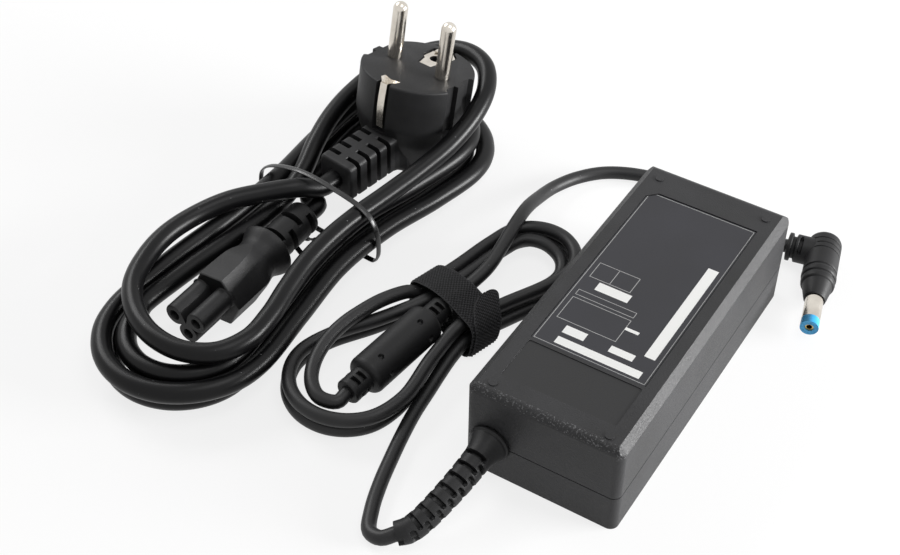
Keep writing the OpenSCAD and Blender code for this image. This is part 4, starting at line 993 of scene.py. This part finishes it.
# distance past the boot's start, half its width
BOOT_ROWS = [(s * MM, w * MM) for s, w in (
    (-9, 8.6), (-4.2, 8.2), (-3.4, 8.15), (-2.6, 7.6), (-1.2, 6.9), (0.6, 6.55), (20, 6.5),
    (20.7, 6.4), (21, 6.1), (21.18, 5.6))]
BOOT_SLOTS = [3.4 * MM, 8 * MM, 12.6 * MM, 17.2 * MM]
BOOT_SLOT_HALF = 0.8 * MM
BOOT_CORNER = 1.7 * MM
BOOT_SPINE = 1.55 * MM      # half the rib left between the slots of the two sides
BOOT_CORE = 3.9 * MM
CORE_CORNER = 1.5 * MM


def rounded_square(half, corner, a):
    """Radius of a square with rounded corners at an angle."""
    c, s = abs(math.cos(math.radians(a))), abs(math.sin(math.radians(a)))
    c, s = max(c, s), min(c, s)
    if half * s / c <= half - corner:
        return half / c
    m = half - corner
    b = m * (c + s)
    return b + math.sqrt(max(0.0, b * b - 2 * m * m + corner * corner))


def boot_radius(s, a):
    d = s - BOOT_IN
    half = profile(BOOT_ROWS, d)
    r = rounded_square(half, BOOT_CORNER, a)
    x = r * math.cos(math.radians(a))
    for at in BOOT_SLOTS:
        gap = smooth((BOOT_SLOT_HALF - abs(d - at)) / (0.18 * MM))
        gap *= smooth((abs(x) - BOOT_SPINE) / (0.2 * MM))
        r = mix(r, min(r, rounded_square(BOOT_CORE, CORE_CORNER, a)), gap)
    return r


BOOT_LINE = [BOOT_START - BOOT_DIR * BOOT_IN, BOOT_END]
mains_plug = joined("mains_plug", [drum, skin(swept(BOOT_LINE, boot_radius, 0.17 * MM, 144))],
                    FINISH["plug_rubber"], LEAD, ["mains_plug_body"], 42)


# ---------- earth contacts of the mains plug ----------
CLIP_HALF = 1.25 * MM
CLIP_T = 0.6 * MM
CLIP_ROWS = 24
CLIP_ENDS = (0.15 * MM, 15.6 * MM)      # how far in from the face it begins and ends
CLIP_GAP = 0.35 * MM
CLIP_BOW = 0.45 * MM
CLIP_TUCK = 0.25 * MM
TAB_FROM = 17.3 * MM
CLIP_TAB = [(x * MM, y * MM) for x, y in (
    (-1.25, 0), (-3.4, 2.5), (-3.1, 4.2), (0, 3.1), (3.1, 3.9), (3, 2.9), (1.25, 0))]


def clip(front):
    """A springy strip in the drum's side slot, bowed a little, with a tab over the face."""
    sign = -1 if front else 1
    rings = []
    for k in range(CLIP_ROWS):
        z = mix(*CLIP_ENDS, k / (CLIP_ROWS - 1))
        bow = CLIP_BOW * math.sin(math.pi * min(1, k / 21)) - CLIP_TUCK * smooth((k - 20) / 3)
        y = FACE_R - SLOT_DEEP + CLIP_T + CLIP_GAP + bow
        rings.append([PLUG @ Vector((x, sign * v, -z)) for x, v in (
            (-CLIP_HALF, y - CLIP_T), (CLIP_HALF, y - CLIP_T), (CLIP_HALF, y), (-CLIP_HALF, y))])
    tab = [(x, sign * (TAB_FROM - y)) for x, y in CLIP_TAB]
    return [skin(rings), extruded(PLUG, tab, -0.35 * MM, 0.12 * MM)]


def plate_with_hole(matrix, outline, hole, low, high):
    return cut_from(extruded(matrix, outline, low, high),
                    [extruded(matrix, hole, low - 1 * MM, high + 1 * MM)])


earth = joined("earth_contacts",
               clip(True) + clip(False)
               + [plate_with_hole(PLUG, EARTH_PLATE, circle(0, EARTH_AT, EARTH_HOLE), -1 * MM,
                                  -0.55 * MM)],
               FINISH["plated_contact"], LEAD, ["mains_plug_earth_contacts"], 30)


# ---------- appliance connector ----------
C5 = (Matrix.Translation(C5_END)
      @ Matrix.Rotation(math.atan2(C5_DIR.y, C5_DIR.x) - math.pi / 2, 4, "Z")
      @ Matrix.Rotation(math.radians(5), 4, "Y"))
C5_BOOT_L = 20 * MM
C5_COLLAR_L = 4 * MM
C5_BODY_L = 20 * MM
C5_NOSE_L = 13 * MM
C5_ROOT = C5_BOOT_L + C5_COLLAR_L + C5_BODY_L
C5_REAR = 26 * MM           # the body and its collar, back from the nose's root
C5_RIM = 25.2 * MM          # where the collar rounds over
LOBES = [(-4 * MM, 1.9 * MM), (4 * MM, 1.9 * MM), (0, -3.6 * MM)]
LOBE_R = 3.3 * MM
NOSE_POINTS = 132
# distance from the nose's root towards the cord, half the body's width
C5_ROWS = [(d * MM, w * MM) for d, w in (
    (0, 9.2), (12.4, 9.2), (14, 9.05), (15.6, 8.5), (17.2, 7.7), (18.8, 7), (20.2, 6.8),
    (21.4, 7.05), (22.6, 7.7), (23.8, 8.4), (24.8, 8.75), (25.5, 8.65), (25.9, 8.2), (26, 7.4))]
C5_TOP = 8.2 * MM
C5_LOW = 8.6 * MM
C5_FLAT = 3.7 * MM
C5_WIDEST = -0.7 * MM
C5_BASE = 4.2 * MM
SIDE_STEPS = 14
C5_ROUND = 2.3              # 2 would round the back to an ellipse


def c5_ring(d):
    """One section of the body: a flat top, steep flanks to its widest, and a narrow base.
    Towards the cord the flat draws in to a rounded end, and the section swells to a collar."""
    half = profile(C5_ROWS, d)
    back = smooth((d - 11 * MM) / (9 * MM))
    rise = smooth((d - 20 * MM) / (5 * MM))
    top = C5_TOP * mix(mix(1, 0.87, back), 1.06, rise)
    low = -C5_LOW * mix(mix(1, 0.78, back), 0.96, rise)
    flat = C5_FLAT * math.sqrt(max(0.0, 1 - (min(d, 18.2 * MM) / (18.3 * MM)) ** 3)) + 0.3 * MM
    if d > C5_RIM:
        rounding = mix(1, 0.86, smooth((d - C5_RIM) / (0.8 * MM)))
        top *= rounding
        low *= rounding
    corners = [(flat, top), (half, C5_WIDEST), (C5_BASE, low), (-C5_BASE, low),
               (-half, C5_WIDEST), (-flat, top)]
    soft = 0.92 * smooth((d - 12 * MM) / (9 * MM))
    ring = []
    for (x0, z0), (x1, z1) in zip(corners, corners[1:] + corners[:1]):
        for j in range(SIDE_STEPS):
            x, z = mix(x0, x1, j / SIDE_STEPS), mix(z0, z1, j / SIDE_STEPS)
            tall = top if z > 0 else -low
            reach = (abs(x / half) ** C5_ROUND + abs(z / tall) ** C5_ROUND) ** (1 / C5_ROUND)
            x, z = mix(x, x / max(0.3, reach), soft), mix(z, z / max(0.3, reach), soft)
            ring.append((x, z))
    return ring


def c5_body():
    rings = []
    for d in steps(0, 0.4 * MM, 0.2 * MM) + steps(0.4 * MM, C5_REAR, 0.3 * MM) + [C5_REAR]:
        shrink = mix(0.97, 1, smooth(d / (0.4 * MM)))
        y = C5_ROOT - d
        rings.append([C5 @ Vector((x * shrink, y, z * shrink)) for x, z in c5_ring(d)])
    return skin(rings)


def nose_outline():
    """The nose's section: three lobes, joined, as one star-shaped outline about its middle."""
    out = []
    for k in range(NOSE_POINTS):
        a = math.tau * k / NOSE_POINTS
        best = 0.0
        for x, z in LOBES:
            along = x * math.cos(a) + z * math.sin(a)
            off = abs(-x * math.sin(a) + z * math.cos(a))
            if off < LOBE_R:
                best = max(best, along + math.sqrt(LOBE_R ** 2 - off ** 2))
        out.append((best * math.cos(a), best * math.sin(a)))
    return out


def c5_nose():
    tip = C5_NOSE_L / MM
    outline = nose_outline()
    rings = []
    for y, grow in ((-1, 1), (0, 1.06), (0.4, 1.0), (tip - 0.5, 1), (tip - 0.15, 0.98), (tip, 0.95)):
        rings.append([C5 @ Vector((x * grow, C5_ROOT + y * MM, z * grow)) for x, z in outline])
    bores = []
    for x, z in LOBES:
        rows = [[C5 @ Vector((x + px, C5_ROOT + y * MM, z + pz)) for px, pz in circle(0, 0, r * MM)]
                for y, r in ((1, 1.35), (tip - 0.7, 1.35), (tip + 0.01, 1.75), (tip + 1, 1.75))]
        bores.append(skin(rows))
    return cut_from(skin(rings), bores)


C5_BOOT_ROWS = [(0, 4.6 * MM), (0.3 * MM, 5.2 * MM), (0.8 * MM, 5.5 * MM), (21 * MM, 5.7 * MM)]
C5_WINDOWS = [(3 + 4.4 * i) * MM for i in range(4)]
C5_WINDOW_HALF = 1 * MM
C5_WINDOW_TURN = 50         # degrees either side of its middle
C5_CORE_R = 3.4 * MM


def c5_boot_radius(s, a):
    """The boot's round body with windows by turns on its sides and on its top and bottom."""
    r = profile(C5_BOOT_ROWS, s)
    for i, at in enumerate(C5_WINDOWS):
        off = s - at
        if abs(off) > C5_WINDOW_HALF:
            continue
        for middle in ((90, 270) if i % 2 else (0, 180)):
            round_it = math.radians(C5_WINDOW_TURN - apart(a, middle)) * r
            gap = min(C5_WINDOW_HALF - abs(off), round_it)
            r = mix(r, C5_CORE_R, smooth(gap / (0.16 * MM)))
    return r


C5_AXIS = C5 @ Vector((0, 1, 0)) - C5 @ Vector((0, 0, 0))
C5_BOOT_LINE = [C5_END, C5_END + C5_AXIS * (C5_BOOT_L + 1 * MM)]
c5 = joined("appliance_connector",
            [c5_body(), c5_nose(), skin(swept(C5_BOOT_LINE, c5_boot_radius, 0.18 * MM, 128))],
            FINISH["plug_rubber"], LEAD, ["c5_connector_body"], 33)


# ---------- wire tie ----------
TIE = Matrix.Translation(Vector((-110, 2, 0)) * MM) @ Matrix.Rotation(math.radians(-7.5), 4, "Z")
TIE_W = 1.9 * MM
TIE_T = 0.8 * MM
TIE_SIDES = 20
TIE_PATH = [Vector((x, 0, z)) * MM for x, z in (
    (0, 0.5), (-14, 0.5), (-21.6, 0.7), (-24.2, 2.2), (-25, 5.2), (-25, 9), (-24, 12.4), (-21.4, 15.2),
    (-17.2, 17.6), (-12, 19.6), (-6, 21), (0, 21.4), (6, 21.2), (12, 20.8), (17, 20), (20.8, 18.2),
    (23.2, 15.2), (24.4, 11.4), (24.6, 7), (24.2, 3.4), (22.8, 1), (20.4, 0.5), (12, 0.5), (0, 0.5))]


def ribbon(path, width, thick, twist, matrix):
    """A flat strip with rounded edges, thickened by the wire in its middle, that turns about
    its own way by twist degrees a metre."""
    rings = []
    line = curve_through(path, 0.5 * MM)
    length = path_length(line)
    count = max(3, round(length / (0.45 * MM)))
    for at, heading in evenly(line, [length * i / count for i in range(count + 1)]):
        s = length * len(rings) / count
        side = Vector((0, 1, 0))
        side = (side - heading * side.dot(heading)).normalized()
        up = heading.cross(side)
        a = math.radians(twist * s)
        side, up = side * math.cos(a) + up * math.sin(a), up * math.cos(a) - side * math.sin(a)
        ring = []
        for k in range(TIE_SIDES):
            b = math.tau * k / TIE_SIDES
            x = math.cos(b)
            z = math.sin(b)
            x = math.copysign(abs(x) ** 0.45, x) * width / 2
            rib = 1 + 0.5 * max(0.0, 1 - abs(x) / (0.25 * width))
            z = math.copysign(abs(z) ** 0.7, z) * thick / 3 * rib
            ring.append(matrix @ (at + side * x + up * z))
        rings.append(ring)
    return skin(rings)


TAIL = mm((-3.4, -9.6, 1.4), (0.5, -11.4, 1.6), (4.6, -12.8, 1.6), (8.4, -13.4, 1.3))
TAIL_TWIST = 60000          # degrees a metre
TAIL_2 = mm((-3, -7, 1.8), (0.5, -7, 2.2), (4, -5.4, 2.2), (8.2, -3.6, 1.6))
joined("wire_tie_band",
       [ribbon(TIE_PATH, TIE_W, TIE_T, 0, TIE), ribbon(TAIL, TIE_W * 0.9, TIE_T, 0, TIE),
        ribbon(TAIL_2, TIE_W * 0.9, TIE_T, TAIL_TWIST, TIE)],
       FINISH["tie_plastic"], LEAD, ["wire_tie"], 60)


# ---------- finishes of the frame's own pieces ----------
for entry in frame["record"]["subparts"]:
    cad = frame["nodes"][entry["node"]]
    cad.data.materials.clear()
    cad.data.materials.append(FINISH[entry["material_slot"]])


EASE_FROM = 28              # degrees; flatter edges stay as they are
EASE_STEPS = 3


def eased(node, width):
    """Breaks a node's sharp edges, as the mould does."""
    cad = frame["nodes"][node]
    cad.data.shade_smooth()
    cad.data.set_sharp_from_angle(angle=math.radians(EASE_FROM))
    easing = cad.modifiers.new("eased", "BEVEL")
    easing.width = width
    easing.segments = EASE_STEPS
    easing.limit_method = "ANGLE"
    easing.angle_limit = math.radians(EASE_FROM)
    easing.harden_normals = True


eased("upper_cover", 0.3 * MM)
eased("lower_cover", 0.3 * MM)
eased("rating_label", 0.05 * MM)


# ---------- studio ----------
FLOOR_DROP = 0.05 * MM      # how far the floor lies under z = 0
PAPER_GLOW = 0.8            # how much of the paper's white is its own
ROOM_LIGHT = 0.22           # the white room's light on the object


def seen_directly(tree):
    """1 where the picture, a reflection or something clear shows the surface, else 0."""
    rays = add(tree, "ShaderNodeLightPath")
    seen = maths(tree, "MAXIMUM", rays.outputs["Is Camera Ray"], rays.outputs["Is Glossy Ray"])
    return maths(tree, "MAXIMUM", seen, rays.outputs["Is Transmission Ray"])


def stage_finish(name, tint):
    """Matt white paper: pure white to the eye and to metal, with room for a soft shadow."""
    finish = bpy.data.materials.new(name)
    finish.use_nodes = True
    tree = finish.node_tree
    shader = tree.nodes["Principled BSDF"]
    shader.inputs["Base Color"].default_value = hex_colour(tint)
    shader.inputs["Roughness"].default_value = 0.9
    shader.inputs["Specular IOR Level"].default_value = 0.1
    white = add(tree, "ShaderNodeEmission", {"Color": (1, 1, 1, 1), "Strength": 1.0})
    share = maths(tree, "MULTIPLY", seen_directly(tree), PAPER_GLOW)
    both = add(tree, "ShaderNodeMixShader", {0: share, 1: shader.outputs[0], 2: white.outputs[0]})
    tree.links.new(both.outputs[0], tree.nodes["Material Output"].inputs["Surface"])
    return finish


def make_floor():
    bm = bmesh.new()
    bmesh.ops.create_grid(bm, x_segments=8, y_segments=8, size=4)
    mesh = bpy.data.meshes.new("floor")
    bm.to_mesh(mesh)
    bm.free()
    floor = bpy.data.objects.new("floor", mesh)
    floor.location.z = -FLOOR_DROP
    bpy.context.scene.collection.objects.link(floor)
    mesh.materials.append(stage_finish("studio_paper", "#f4f4f4"))


def make_world():
    world = bpy.data.worlds.new("studio")
    world.use_nodes = True
    tree = world.node_tree
    sky = tree.nodes["Background"]
    sky.inputs["Color"].default_value = (1, 1, 1, 1)
    level = add(tree, "ShaderNodeMapRange", {
        "Value": seen_directly(tree), "To Min": ROOM_LIGHT, "To Max": 1.0,
    })
    tree.links.new(level.outputs["Result"], sky.inputs["Strength"])
    bpy.context.scene.world = world


def softbox(name, at, aim, width, height, watts):
    data = bpy.data.lights.new(name, "AREA")
    data.shape = "RECTANGLE"
    data.size = width
    data.size_y = height
    data.energy = watts
    lamp = bpy.data.objects.new(name, data)
    bpy.context.scene.collection.objects.link(lamp)
    lamp.location = at
    lamp.rotation_euler = (Vector(aim) - Vector(at)).to_track_quat("-Z", "Y").to_euler()


make_floor()
make_world()
MIDDLE = (-0.05, 0, 0.01)
softbox("right_softbox", (0.9, 0.42, 0.24), MIDDLE, 0.6, 0.34, 27)
softbox("top_softbox", (0.25, 0.05, 1), MIDDLE, 0.6, 0.5, 2.6)
softbox("left_softbox", (-0.75, 0.2, 0.6), MIDDLE, 0.5, 0.22, 3.5)
bpy.context.scene.view_settings.view_transform = "Standard"
